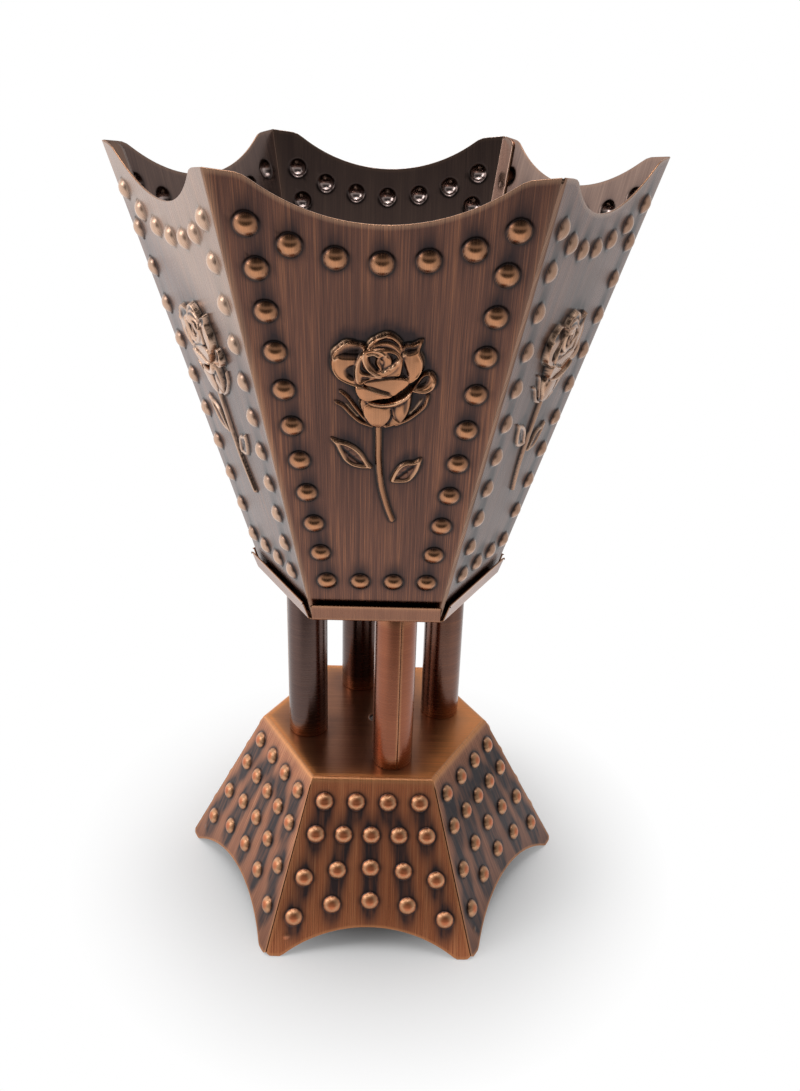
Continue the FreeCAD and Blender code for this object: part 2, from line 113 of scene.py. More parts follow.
class Net:
    """Values on a fine net over a side's flat pattern."""

    def __init__(self, half_width, length):
        self.half_width = half_width
        self.u = np.arange(-half_width, half_width + net_step, net_step)
        self.s = np.arange(0.0, length + net_step, net_step)
        self.U, self.S = np.meshgrid(self.u, self.s, indexing="ij")
        self.height, self.dark, self.light = (np.zeros_like(self.U) for _ in range(3))

    def blur(self, values, along_u, along_s):
        fu = np.fft.fftfreq(values.shape[0], net_step)[:, None]
        fs = np.fft.rfftfreq(values.shape[1], net_step)[None, :]
        keep = np.exp(-2 * math.pi ** 2 * ((along_u * fu) ** 2 + (along_s * fs) ** 2))
        return np.fft.irfft2(np.fft.rfft2(values) * keep, s=values.shape)

    def read(self, values, u, s):
        x = np.clip((u + self.half_width) / net_step, 0, values.shape[0] - 1.001)
        y = np.clip(s / net_step, 0, values.shape[1] - 1.001)
        i, j = x.astype(int), y.astype(int)
        a, b = x - i, y - j
        low = values[i, j] * (1 - a) + values[i + 1, j] * a
        high = values[i, j + 1] * (1 - a) + values[i + 1, j + 1] * a
        return low * (1 - b) + high * b

    def boss(self, u, s, radius=boss_radius, height=boss_height, soft=0.22):
        """Round dome with a small fillet round its foot."""
        r = np.hypot(self.U - u, self.S - s)
        ball = (radius ** 2 + height ** 2) / (2 * height)
        steep = radius * 1.04
        cap = np.sqrt(ball ** 2 - np.minimum(r, steep) ** 2) - (ball - height)
        cap -= np.maximum(r - steep, 0) * steep / math.sqrt(ball ** 2 - steep ** 2)
        self.height += np.where(r < 3 * radius, (cap + np.sqrt(cap ** 2 + soft ** 2)) / 2, 0)


def hand_points(text):
    """Points written as pairs of u and s."""
    return np.array([pair.split() for pair in text.split(",")], float)


def smooth_curve(p, closed=True):
    """Smooth curve through points."""
    n, fine = len(p), 7
    curve = []
    for i in range(n if closed else n - 1):
        if closed:
            a, b, c, d = p[(i - 1) % n], p[i], p[(i + 1) % n], p[(i + 2) % n]
        else:
            a, b, c, d = p[max(i - 1, 0)], p[i], p[i + 1], p[min(i + 2, n - 1)]
        for t in np.arange(fine) / fine:
            curve.append(0.5 * (2 * b + (c - a) * t + (2 * a - 5 * b + 4 * c - d) * t ** 2
                                + (3 * b - a - 3 * c + d) * t ** 3))
    return np.array(curve + [curve[0] if closed else p[-1]])


class Rose:
    """Rose on its own window of the net, drawn petal by petal, each over the ones before it. Its
    dark layer is patina and painted shade, its light layer rubbing and painted highlights.
    """

    def __init__(self, net, low, high):
        i0, i1 = np.searchsorted(net.u, (low[0], high[0]))
        j0, j1 = np.searchsorted(net.s, (low[1], high[1]))
        self.net, self.window = net, (slice(i0, i1), slice(j0, j1))
        self.U, self.S = net.U[self.window], net.S[self.window]
        self.height, self.dark, self.light = (np.zeros_like(self.U) for _ in range(3))

    def reach(self, curve):
        """Distance to a curve and how far along it the nearest point lies."""
        best = np.full(self.U.shape, 1e9)
        place = np.zeros(self.U.shape)
        for k in range(len(curve) - 1):
            a, run = curve[k], curve[k + 1] - curve[k]
            size = run @ run + 1e-12
            t = np.clip(((self.U - a[0]) * run[0] + (self.S - a[1]) * run[1]) / size, 0, 1)
            d = (self.U - a[0] - t * run[0]) ** 2 + (self.S - a[1] - t * run[1]) ** 2
            near = d < best
            best[near] = d[near]
            place[near] = ((k + t) / (len(curve) - 1))[near]
        return np.sqrt(best), place

    def depth_in(self, points):
        """Distance to a closed outline, negative outside it."""
        curve = smooth_curve(points)
        odd = np.zeros(self.U.shape, bool)
        for a, b in zip(curve, curve[1:]):
            if a[1] != b[1]:
                cross = (self.S < a[1]) != (self.S < b[1])
                at = a[0] + (self.S - a[1]) / (b[1] - a[1]) * (b[0] - a[0])
                odd ^= cross & (self.U < at)
        d = self.reach(curve)[0]
        return np.where(odd, d, -d)

    def petal(self, points, base, crown=0.0, lip=0.0, lean=(0, 0)):
        """Crowned petal with a raised lip. The lean lifts it towards one side."""
        d = self.depth_in(points)
        t = np.clip(d / d.max(), 0, 1)
        u0, s0 = np.mean(points, 0)
        body = base + crown * np.sqrt(t * (2 - t)) + lip * np.exp(-((d - 0.45) / 0.36) ** 2)
        body += lean[0] * (self.U - u0) + lean[1] * (self.S - s0)
        cover = smooth((d + 0.3) / 0.6)
        self.height = self.height * (1 - cover) + np.maximum(body, 0.15) * cover
        self.dark *= 1 - cover
        self.light *= 1 - cover

    def hollow(self, points, depth, soft=1.1, patina_and_shade_strength=1.0):
        """Sunk place that keeps its patina and is darkened as painted shade."""
        d = self.depth_in(points)
        cover, sunk = smooth(d / soft + 0.35), smooth(0.15 + 1.1 * d / d.max())
        self.height = np.maximum(self.height - depth * sunk * (d > -0.4), 0)
        self.dark = np.maximum(self.dark, patina_and_shade_strength * cover * (0.45 + 0.55 * sunk))
        self.light *= 1 - cover

    def line(self, points, rise, width=0.42, mark=1.0):
        """Thin raised lip that is rubbed bright with a painted highlight, or a groove that stays
        dark with patina and painted shade.
        """
        d, place = self.reach(smooth_curve(points, False))
        taper = smooth(place / 0.12) * smooth((1 - place) / 0.12)
        trace = np.exp(-(d / width) ** 2) * (0.25 + 0.75 * taper)
        self.height = np.maximum(self.height + rise * trace, 0)
        if rise > 0:
            self.light = np.maximum(self.light, mark * trace)
            self.dark *= 1 - trace
        else:
            self.dark = np.maximum(self.dark, mark * trace)

    def rod(self, points, start, end, rise):
        """Half-round bar whose width changes along it, with a dark groove beside it."""
        d, place = self.reach(smooth_curve(points, False))
        radius = start + (end - start) * place
        bar = rise * np.sqrt(np.clip(1 - (d / radius) ** 2, 0, 1))
        groove = np.exp(-((d - radius - 0.5) / 0.45) ** 2) * (self.height < 0.3)
        self.dark = np.where(bar > self.height, 0, np.maximum(self.dark, 0.9 * groove))
        self.height = np.where(bar > self.height, bar, self.height - 0.18 * groove)

    def leaf(self, outline, midrib, veins):
        """Leaf with a bright rolled outline round a sunk field."""
        self.petal(outline, 0.95)
        d = self.depth_in(outline)
        rim, field = np.exp(-((d - 0.65) / 0.45) ** 2), smooth((d - 0.95) / 0.6)
        self.height += 0.3 * rim - 0.35 * field
        self.light = np.maximum(self.light, 0.6 * rim)
        self.dark = np.maximum(self.dark, 0.1 * field)
        self.line(hand_points(midrib), -0.3, 0.5, 0.9)
        for vein in veins.split(";"):
            self.line(hand_points(vein), -0.1, 0.35, 0.5)

    def lay(self):
        self.net.height[self.window] += self.height
        for mine, whole in ((self.dark, self.net.dark), (self.light, self.net.light)):
            whole[self.window] = np.maximum(whole[self.window], mine)


# Half-open rose with a curved stem and two leaves: the kind of each stroke, its points, and then
# base, crown, lip and lean of a petal, depth, softness and darkening of a hollow (patina and
# painted shade), rise, width and mark of a line, radii and rise of a rod, midrib and veins of a
# leaf
rose_strokes = (
    # Sepals behind the cup
    ("hollow", "-13.6 106.8, -9.2 103.6, -5.6 97.4, -8.8 98.4, -12.2 102.0", 0, 1.4),
    ("hollow", "9.4 107.6, 15.6 108.0, 15.2 103.8, 11.4 99.8, 8.6 99.6", 0, 1.8, 0.85),
    ("rod", "-15.0 103.6, -12.6 102.2, -9.7 98.8, -6.6 96.0, -2.6 94.5", 0.42, 0.85, 1.15),
    ("rod", "-13.4 107.9, -11.1 105.8, -8.7 102.2, -5.8 98.3, -3.4 95.6", 0.38, 0.75, 1.15),
    ("rod", "16.4 106.9, 15.4 103.0, 12.3 99.6, 9.4 97.2, 5.6 95.3", 0.42, 0.9, 1.15),
    ("line", "-11.6 103.2, -9.6 100.6, -7.4 98.0", 0.35, 0.32, 0.6),
    ("line", "14.4 105.6, 12.4 102.2, 10.4 99.6", 0.35, 0.32, 0.6),
    # Curled petal at the right
    ("petal", "10.6 109.6, 12.2 112.4, 14.2 115.6, 17.0 116.2, 18.7 113.6, 18.2 110.7, 15.5 108.8, "
     "12.6 108.8", 1.7, 0.3, 0.2, (0.05, -0.06)),
    ("hollow", "11.6 111.0, 13.8 114.9, 16.2 116.0, 17.0 114.2, 16.0 111.8, 13.6 110.5", 1.1, 0.9),
    ("line", "10.4 110.2, 12.4 109.6, 15.4 109.6, 17.6 111.4, 18.0 113.8", 0.3, 0.4, 0.6),
    # Left petal, hollow at its top and beside the bud
    ("petal", "-5.0 125.4, -7.4 126.6, -11.0 127.3, -13.8 125.4, -15.8 122.6, -16.2 117.9, "
     "-14.4 114.2, -11.4 112.2, -7.6 110.9, -5.2 111.6, -4.6 117.6", 1.6, 0.9, 0.25,
     (-0.02, -0.04)),
    ("hollow", "-6.0 126.0, -9.6 126.5, -13.0 125.2, -14.5 122.8, -13.2 121.6, -10.6 121.4, "
     "-7.8 121.4, -5.6 122.2", 0.7, 1.2),
    ("hollow", "-12.2 117.2, -10.8 119.0, -8.6 119.6, -7.6 117.6, -7.9 114.4, -9.4 113.4, "
     "-11.4 114.8", 0.9, 1.4),
    ("line", "-10.6 127.2, -12.4 126.4, -13.6 125.2", 0.35),
    ("line", "-14.2 124.9, -15.7 123.2, -15.5 121.0", 0.35),
    ("line", "-15.4 120.6, -14.0 122.0", 0.3, 0.4, 0.8),
    ("line", "-16.0 117.4, -14.0 113.9, -11.0 112.2, -7.6 111.2", 0.25, 0.4, 0.55),
    # Top petal with a second fold inside it
    ("petal", "-4.6 121.6, -4.5 125.4, -3.4 127.4, -1.6 128.9, 2.1 130.5, 4.6 129.5, 6.9 126.8, "
     "7.4 122.8, 2.0 119.6", 1.7, 0.5, 0.15, (0, 0.03)),
    ("hollow", "-3.0 126.2, -1.4 128.0, 1.9 129.5, 4.7 128.5, 6.6 126.2, 5.0 126.0, 2.0 127.3, "
     "-1.0 126.9", 0.5, 0.8),
    ("petal", "-3.4 123.8, -2.5 126.6, 1.6 128.0, 4.8 126.8, 6.8 123.8, 3.0 121.6", 2.0, 0.3, 0.3),
    ("hollow", "-2.6 123.4, -1.6 125.4, 1.8 126.6, 4.6 125.2, 6.2 123.2, 2.6 121.6", 0.5, 1.0, 0.7),
    ("line", "-4.4 124.8, -3.6 127.2, -2.4 128.3", 0.35),
    ("line", "-1.4 128.9, 0.4 129.7, 2.1 130.4", 0.35),
    ("line", "3.0 130.2, 5.4 128.6, 6.9 126.6", 0.25, 0.32, 0.35),
    # Right petal
    ("petal", "7.0 123.2, 7.6 126.2, 10.6 126.9, 13.6 128.2, 12.9 124.4, 14.1 121.2, 13.9 117.6, "
     "12.0 114.2, 9.2 112.5, 6.4 113.6, 5.8 118.6", 1.8, 0.8, 0.2, (0.03, -0.04)),
    ("hollow", "7.2 124.6, 8.0 126.4, 10.8 126.8, 13.1 127.6, 12.3 124.8, 10.4 123.7, 8.6 123.5",
     0.7, 0.9),
    ("hollow", "6.6 120.6, 7.9 121.6, 9.2 118.6, 9.9 115.6, 8.2 114.3, 6.4 116.4", 0.9, 1.2),
    ("line", "12.7 124.0, 13.9 121.2, 13.7 117.6, 11.8 114.4", 0.25, 0.4, 0.5),
    ("line", "7.2 123.0, 8.4 124.1", 0.3, 0.4, 0.9),
    # Cup
    ("petal", "-6.4 105.6, 0.8 104.4, 6.4 105.2, 10.4 108.8, 10.6 105.2, 9.8 100.6, 7.6 96.6, "
     "3.4 94.4, -1.4 94.0, -4.9 97.4", 1.1, 1.2, 0.1, (0.02, 0.08)),
    ("hollow", "3.8 104.4, 6.0 104.4, 5.8 100.6, 6.6 97.2, 5.2 98.0, 4.6 100.6", 0.4, 0.8, 0.9),
    ("hollow", "7.8 106.4, 9.8 106.6, 9.6 102.4, 8.6 100.0, 7.9 102.4", 0.3, 1.0, 0.75),
    ("petal", "4.1 99.8, 5.6 98.2, 7.4 96.6, 5.2 95.4, 1.8 94.4, 2.6 96.6", 1.3, 0.5, 0.2),
    ("petal", "-5.6 102.8, -2.2 105.0, 3.3 103.6, 4.1 100.0, 2.9 96.6, 0.4 94.4, -2.9 95.2, "
     "-4.8 98.2", 1.5, 1.3, 0.1, (0, 0.09)),
    ("line", "3.8 102.4, 4.3 99.8, 3.6 97.2, 2.2 95.4", -0.5, 0.4),
    ("line", "-6.8 104.8, -6.2 101.8, -4.4 98.0", 0.3, 0.35, 0.7),
    # Fold under the front petals, with a deep gap over its right half
    ("hollow", "4.6 106.9, 7.0 108.8, 9.8 111.6, 10.7 110.6, 8.4 107.9, 6.0 106.3", 1.6, 0.7),
    ("petal", "-4.4 105.5, 0.8 104.9, 4.4 105.8, 7.9 107.7, 10.6 110.4, 10.5 108.2, 8.2 105.5, "
     "4.4 103.4, -0.2 103.5, -3.4 104.3", 2.5, 0.5, 0.15, (0.02, 0.1)),
    ("line", "5.4 106.1, 8.0 107.6, 10.5 110.1", 0.4),
    ("line", "-4.0 105.7, 0.6 105.3, 4.2 106.2", -0.35, 0.3),
    ("line", "-2.8 104.6, 0.8 104.1, 4.6 104.7, 7.8 106.6, 9.8 108.6", 0.35, 0.6, 0.7),
    # Bud, wrapped from the outside in
    ("petal", "-6.4 123.4, -7.8 120.4, -8.4 116.7, -7.8 112.6, -5.3 112.4, -0.7 113.8, 5.9 115.4, "
     "7.2 118.4, 7.2 122.4, 5.0 124.8, 1.6 126.0, -3.4 125.4", 2.6, 0.3, 0.2, (0, -0.03)),
    ("hollow", "-6.2 121.4, -5.2 118.6, -2.8 116.3, -5.6 116.2, -6.9 117.8", 0.8, 0.7),
    ("hollow", "-6.2 115.4, -3.2 115.2, -3.6 113.9, -6.3 113.5", 0.4, 0.8, 0.8),
    ("line", "-6.2 123.2, -7.5 120.2, -8.1 116.7, -7.5 113.2", 0.35, 0.4, 0.8),
    ("line", "-5.2 115.8, -2.2 115.4, 0.6 114.8", 0.3, 0.4, 0.6),
    ("petal", "-5.6 124.6, -5.9 121.6, -4.5 118.2, -2.2 116.2, 0.5 115.4, 3.4 116.6, 6.1 119.6, "
     "6.8 122.2, 5.0 124.2, 1.6 125.6, -2.4 125.6", 3.0, 0.3, 0.1),
    ("hollow", "-4.4 122.6, -2.4 123.6, -0.6 122.6, -0.7 120.2, 0.2 118.0, -1.6 117.4, -3.8 119.6",
     1.3, 1.3),
    ("hollow", "1.9 124.6, 5.2 124.2, 6.4 122.0, 4.7 120.0, 3.0 117.9, 3.2 120.6", 1.2, 1.2),
    ("petal", "-0.6 121.2, 0.3 122.9, 2.6 123.3, 3.8 121.4, 3.1 119.4, 1.0 117.3, 0.4 119.2", 2.5,
     0.5, 0, (0.08, 0.1)),
    ("line", "0.2 122.6, 1.2 121.2, 1.0 119.4", -0.3, 0.3, 0.7),
    ("line", "-5.3 124.9, -5.7 121.8, -4.3 118.4, -2.2 116.6, 0.0 115.7", 0.4),
    ("line", "-4.4 123.4, -2.2 123.9, -0.6 122.9", 0.35),
    ("line", "-2.4 125.3, 0.4 124.5, 1.8 122.9", 0.3, 0.4, 0.7),
    ("line", "6.7 122.2, 5.5 120.8", 0.35),
    ("line", "4.6 119.9, 3.0 118.6", 0.35),
    ("line", "2.1 118.0, 0.7 117.2", 0.35),
    # Front petals, which stand out most along their upper edges
    ("petal", "-5.4 112.9, -0.7 114.1, 4.9 115.1, 9.2 114.7, 9.6 112.6, 7.2 109.8, 4.4 107.4, "
     "0.8 108.4, -4.0 110.8", 2.2, 0.7, 0.3, (0.02, 0.14)),
    ("line", "-5.0 113.2, 0.2 114.6, 5.0 115.5, 8.6 115.2", -0.4, 0.3),
    ("petal", "-8.2 111.2, -5.3 111.2, -0.7 109.4, 3.8 108.1, 3.6 106.9, -0.6 106.1, -4.0 105.2, "
     "-6.6 106.2, -8.0 108.6", 2.3, 0.6, 0.25, (-0.01, 0.14)),
    ("line", "-5.2 111.7, -1.0 110.1, 3.2 108.8", -0.35, 0.28),
    ("line", "-8.0 111.3, -5.0 111.1, -0.8 109.3, 3.6 108.0", 0.25, 0.38, 0.7),
    # Stem and leaves
    ("rod", "-0.4 94.6, -0.2 87.0, -0.1 80.2, 0.9 68.9, 3.1 59.2, 5.2 52.6", 1.15, 1.0, 1.45),
    ("leaf", "-16.9 88.7, -14.0 87.7, -11.0 86.8, -7.9 84.8, -5.6 82.0, -4.0 78.9, -2.3 76.4, "
     "-4.6 76.2, -7.2 76.4, -9.8 77.3, -12.3 79.5, -13.9 82.7, -15.1 85.7",
     "-14.0 85.8, -11.4 83.2, -8.2 80.0, -5.2 77.8",
     "-11.2 83.2, -9.6 84.2; -9.2 81.2, -7.2 81.8; -10.6 82.4, -11.0 80.4"),
    ("leaf", "4.5 70.5, 5.1 73.3, 6.3 76.0, 7.9 78.1, 10.0 79.3, 12.4 79.5, 15.1 80.9, 14.7 77.4, "
     "13.6 74.4, 12.0 71.8, 10.2 70.5, 7.4 70.2",
     "12.8 78.0, 10.8 76.2, 8.6 74.0, 6.4 71.8",
     "11.2 76.6, 9.4 77.0; 9.2 74.7, 7.4 74.9; 10.2 75.4, 11.2 73.4"),
)


def press_rose(net):
    rose = Rose(net, (-22.0, 48.0), (23.0, 134.0))
    for kind, points, *values in rose_strokes:
        getattr(rose, kind)(hand_points(points), *values)
    rose.lay()
    head = (net.S > 93) & (np.hypot(net.U - 1.0, net.S - 112.0) < 22) & (net.height > 0.1)
    net.fine = net.blur(head.astype(float), 0.5, 0.5)


def wear_and_painted_light_of(net, halo_u, halo_s, drift, strength):
    """Where patina stays in creases and round the relief, and where proud places are rubbed. The
    relief's dark layer, patina with painted shade, joins the crease, and its light layer, rubbing
    with painted highlights, is passed on for the bright edge.
    """
    h = net.height
    low = np.clip((net.blur(h, 0.8, 0.8) - h) / 0.3, 0, 1)
    hollow = np.clip((net.blur(h, 2.2, 2.2) - h) / 0.9, 0, 1) * smooth(h / 0.3)
    over = np.clip((h - net.blur(h, 1.5, 1.5)) / 0.6, 0, 1)
    raised = (h > 0.3).astype(float)
    smoky = net.blur(np.roll(raised, round(drift / net_step), 1), halo_u, halo_s)
    halo = np.clip(np.maximum(strength * smoky - 0.12, 2.0 * net.blur(raised, 1.6, 1.6)), 0, 1)
    near = np.clip(net.blur(raised, 0.7, 0.7) * 2.0, 0, 1) * (1 - smooth(h / 0.35))
    proud = np.clip(0.6 * smooth((h - 0.35) / 0.8) + 0.3 * over - 1.1 * low - 0.7 * hollow, 0, 0.78)
    proud += 0.22 * smooth((h - 1.55) / 0.7) * (proud > 0.5)
    crease = np.maximum(np.maximum(low, 0.8 * near) + 0.6 * hollow, 0.95 * net.dark)
    return {"height": h, "crease": np.clip(crease, 0, 1), "proud": proud * (1 - net.dark),
            "halo": halo * (h < 0.5), "light": net.light}


# Meshes, flat patterns and folding

def points_of(mesh):
    co = np.zeros(len(mesh.vertices) * 3, np.float32)
    mesh.vertices.foreach_get("co", co)
    return co.reshape(-1, 3)


def paint(mesh, colour):
    """Write the four channels of rubbing, patina and painted light: crease with painted shade,
    rubbed place, bright edge with painted highlights, and patina with painted shade, each from 0 to
    1.
    """
    colour = np.clip(colour, 0, 1).astype(np.float32)
    mesh.attributes["wear_and_painted_light"].data.foreach_set("color", colour.ravel())


def face_out(bm, outness):
    """Point all faces outwards, where outness says how far outwards one face points."""
    bmesh.ops.recalc_face_normals(bm, faces=bm.faces)
    if sum(outness(f) for f in bm.faces) < 0:
        bmesh.ops.reverse_faces(bm, faces=bm.faces)


def finished_mesh(name, bm):
    """Mesh with smooth faces and with room for its rubbing, patina and painted light and its flat
    coordinates.
    """
    mesh = bpy.data.meshes.new(name)
    bm.to_mesh(mesh)
    bm.free()
    mesh.attributes.new("wear_and_painted_light", "FLOAT_COLOR", "POINT")
    mesh.uv_layers.new(name="pattern")
    mesh.polygons.foreach_set("use_smooth", np.ones(len(mesh.polygons), bool))
    return mesh


def plain_mesh(name, bm, uv_of=lambda co: (co.x * 10, co.y * 10), wear_and_painted_light=(0, 0, 0, 0)):
    """Finished mesh of a bmesh in millimetres, with even rubbing, patina and painted light."""
    bmesh.ops.scale(bm, vec=(mm, mm, mm), verts=bm.verts)
    mesh = finished_mesh(name, bm)
    paint(mesh, np.tile(wear_and_painted_light, (len(mesh.vertices), 1)))
    uv = mesh.uv_layers["pattern"].data
    for loop in mesh.loops:
        uv[loop.index].uv = uv_of(mesh.vertices[loop.vertex_index].co)
    return mesh


def spread_out(step, steps, length, margin=0.1):
    """Place of a grid line on a length. The outer lines lie close to the ends, for crisp edges."""
    inner = margin + (length - 2 * margin) * np.clip((step - 1) / (steps - 2), 0, 1)
    return np.where(step <= 0, 0, np.where(step >= steps, length, inner))


def relief_masks(net):
    """Where a flat pattern is divided once and twice, round its relief."""
    spread = net.blur((net.height > 0.03).astype(float), 1.0, 1.0)
    return [(spread > share).astype(float) for share in (0.002, 0.018)]


def flat_pattern(columns, rows, place, net, masks):
    """Grid sent to its place in the flat pattern, and divided again where the relief is."""
    bm = bmesh.new()
    bmesh.ops.create_grid(bm, x_segments=columns, y_segments=rows, size=0.5)
    at = np.array([v.co[:2] for v in bm.verts]) + 0.5
    x, y = place(np.round(at[:, 0] * columns).astype(int), at[:, 1])
    for v, a, b in zip(bm.verts, x, y):
        v.co = (a, b, 0)
    for mask in masks:
        at = np.array([v.co[:2] for v in bm.verts])
        hit = net.read(mask, at[:, 0], at[:, 1]) > 0.5
        bm.verts.index_update()
        cut = [e for e in bm.edges if hit[e.verts[0].index] and hit[e.verts[1].index]]
        bmesh.ops.subdivide_edges(bm, edges=cut, cuts=1, use_grid_fill=True)
    return bm


def press_and_fold(name, bm, net, wear_and_painted_light, edge_of, fold):
    """Turn a flat pattern into a mesh with its relief, its rubbing, patina and painted light, and
    its flat coordinates.
    """
    mesh = finished_mesh(name, bm)
    flat = points_of(mesh).astype(float)
    x, y = flat[:, 0], flat[:, 1]
    u, s, w = fold(x, y)
    pressed = np.stack([u, s, w + net.read(wear_and_painted_light["height"], x, y)], 1)
    mesh.vertices.foreach_set("co", pressed.astype(np.float32).ravel())
    crease, proud, light, halo = (net.read(wear_and_painted_light[key], x, y)
                                  for key in ("crease", "proud", "light", "halo"))
    paint(mesh, np.stack([crease, proud, np.maximum(edge_of(x, y), light), halo], 1))
    corner = np.zeros(len(mesh.loops), np.int32)
    mesh.loops.foreach_get("vertex_index", corner)
    uv = flat[corner, :2] * mm * 10
    mesh.uv_layers["pattern"].data.foreach_set("uv", uv.astype(np.float32).ravel())
    return mesh


def place_copy(mesh, name, matrix, shift, patina_and_shade=(1, 1, 0), painted_glare=0.0):
    """Copy of a side's mesh on one of the six sides, with its brushing shifted along the pattern.

    The patina and shade factors say how strong the patina round the relief is at the top and at the
    foot, and how much painted shade the foot has all over; they differ from side to side with the
    way each side faces the light. The painted glare is how far the top is lightened as a painted
    reflection, down to a line that slants to the next side."""
    copy = mesh.copy()
    copy.name = name
    co = points_of(copy)
    up = co[:, 1] / co[:, 1].max()
    colour = np.zeros(len(co) * 4, np.float32)
    copy.attributes["wear_and_painted_light"].data.foreach_get("color", colour)
    colour = colour.reshape(-1, 4)
    head, foot, painted_foot_shade = patina_and_shade
    colour[:, 3] *= foot + (head - foot) * up
    # Painted shade: the foot of the sides that face away from the light is darkened all over.
    colour[:, 3] += painted_foot_shade * (1 - up) * (colour[:, 1] < 0.2)
    level = up + co[:, 0] / 375
    # Painted glare: the top is lightened as a painted reflection, down to a slanting line.
    colour[:, 2] = np.maximum(colour[:, 2], painted_glare * smooth((level - 0.7) / 0.14))
    paint(copy, colour)
    copy.transform(matrix)
    uv = np.zeros(len(copy.loops) * 2, np.float32)
    copy.uv_layers["pattern"].data.foreach_get("uv", uv)
    uv += np.tile(np.array(shift, np.float32), len(copy.loops))
    copy.uv_layers["pattern"].data.foreach_set("uv", uv)
    return copy


def piece(name, mesh, materials, nodes, body="burner", thick=sheet):
    """Object of a finished mesh, riding on a body and standing for the solids it replaces."""
    obj = bpy.data.objects.new(name, mesh)
    scene.collection.objects.link(obj)
    for material in materials:
        mesh.materials.append(material)
    if thick:
        wall = obj.modifiers.new("wall", "SOLIDIFY")
        wall.thickness = thick * mm
        wall.offset = -1
        wall.use_even_offset = False
        wall.material_offset, wall.material_offset_rim = 1, 2
    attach(obj, body)
    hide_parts(*nodes)
    return obj


# Bowl sides

def rim_line(side):
    """Height of the scalloped rim over each u: a big arc, a rounded horn and its sloping top."""
    slope = math.radians(horn_slope)
    length = side.length - rim_inset
    centre_s = side.length - rim_dip + rim_radius
    inward = np.array([-math.cos(slope), -math.sin(slope)])
    corner = np.array([side.head_half, length])
    start = corner + horn_round * np.array([math.sin(slope), -math.cos(slope)]) - (0, centre_s)
    lean = start @ inward
    run = -lean - math.sqrt(lean ** 2 - start @ start + (rim_radius + horn_round) ** 2)
    centre = start + run * inward + (0, centre_s)
    join_u = centre[0] * rim_radius / (rim_radius + horn_round)
    land_u = corner[0] + run * inward[0]

    def line(u):
        a = np.abs(u)
        arc = centre_s - np.sqrt(rim_radius ** 2 - np.minimum(a, join_u) ** 2)
        bend = centre[1] + np.sqrt(np.maximum(horn_round ** 2 - (a - centre[0]) ** 2, 0))
        top = length - (side.head_half - a) * math.tan(slope)
        return np.where(a < join_u, arc, np.where(a < land_u, bend, top))

    return line


def bowl_relief(side):
    """Bosses along the four edges, the rose, and small marks down the seam's tab."""
    net = Net(66.0, 184.0)
    row_radius = rim_radius + rim_row_drop
    row_turn = math.asin((side.head_half - rim_row_inset) / row_radius)
    for turn in np.linspace(-row_turn, row_turn, rim_row_count):
        net.boss(row_radius * math.sin(turn),
                 side.length - rim_dip + rim_radius - row_radius * math.cos(turn))
    for i in range(1, 10):
        s = bowl_row_first + bowl_row_pitch * i
        for end in (-1, 1):
            net.boss(end * (side.half(s) - bowl_row_inset), s)
    for i in range(4):
        net.boss((side.half(bowl_row_first) - bowl_row_inset) * (2 * i / 3 - 1), bowl_row_first)
    press_rose(net)
    for s in (28.0, 62.0, 97.0, 132.0, 160.0):
        net.boss(-side.half(s) - 4.4, s, 1.4, 0.35, 0.08)
    return net


fold_turn = math.acos(1 - bowl_side(0).rise ** 2 / 2)
lap_setback = sheet / math.sin(fold_turn)


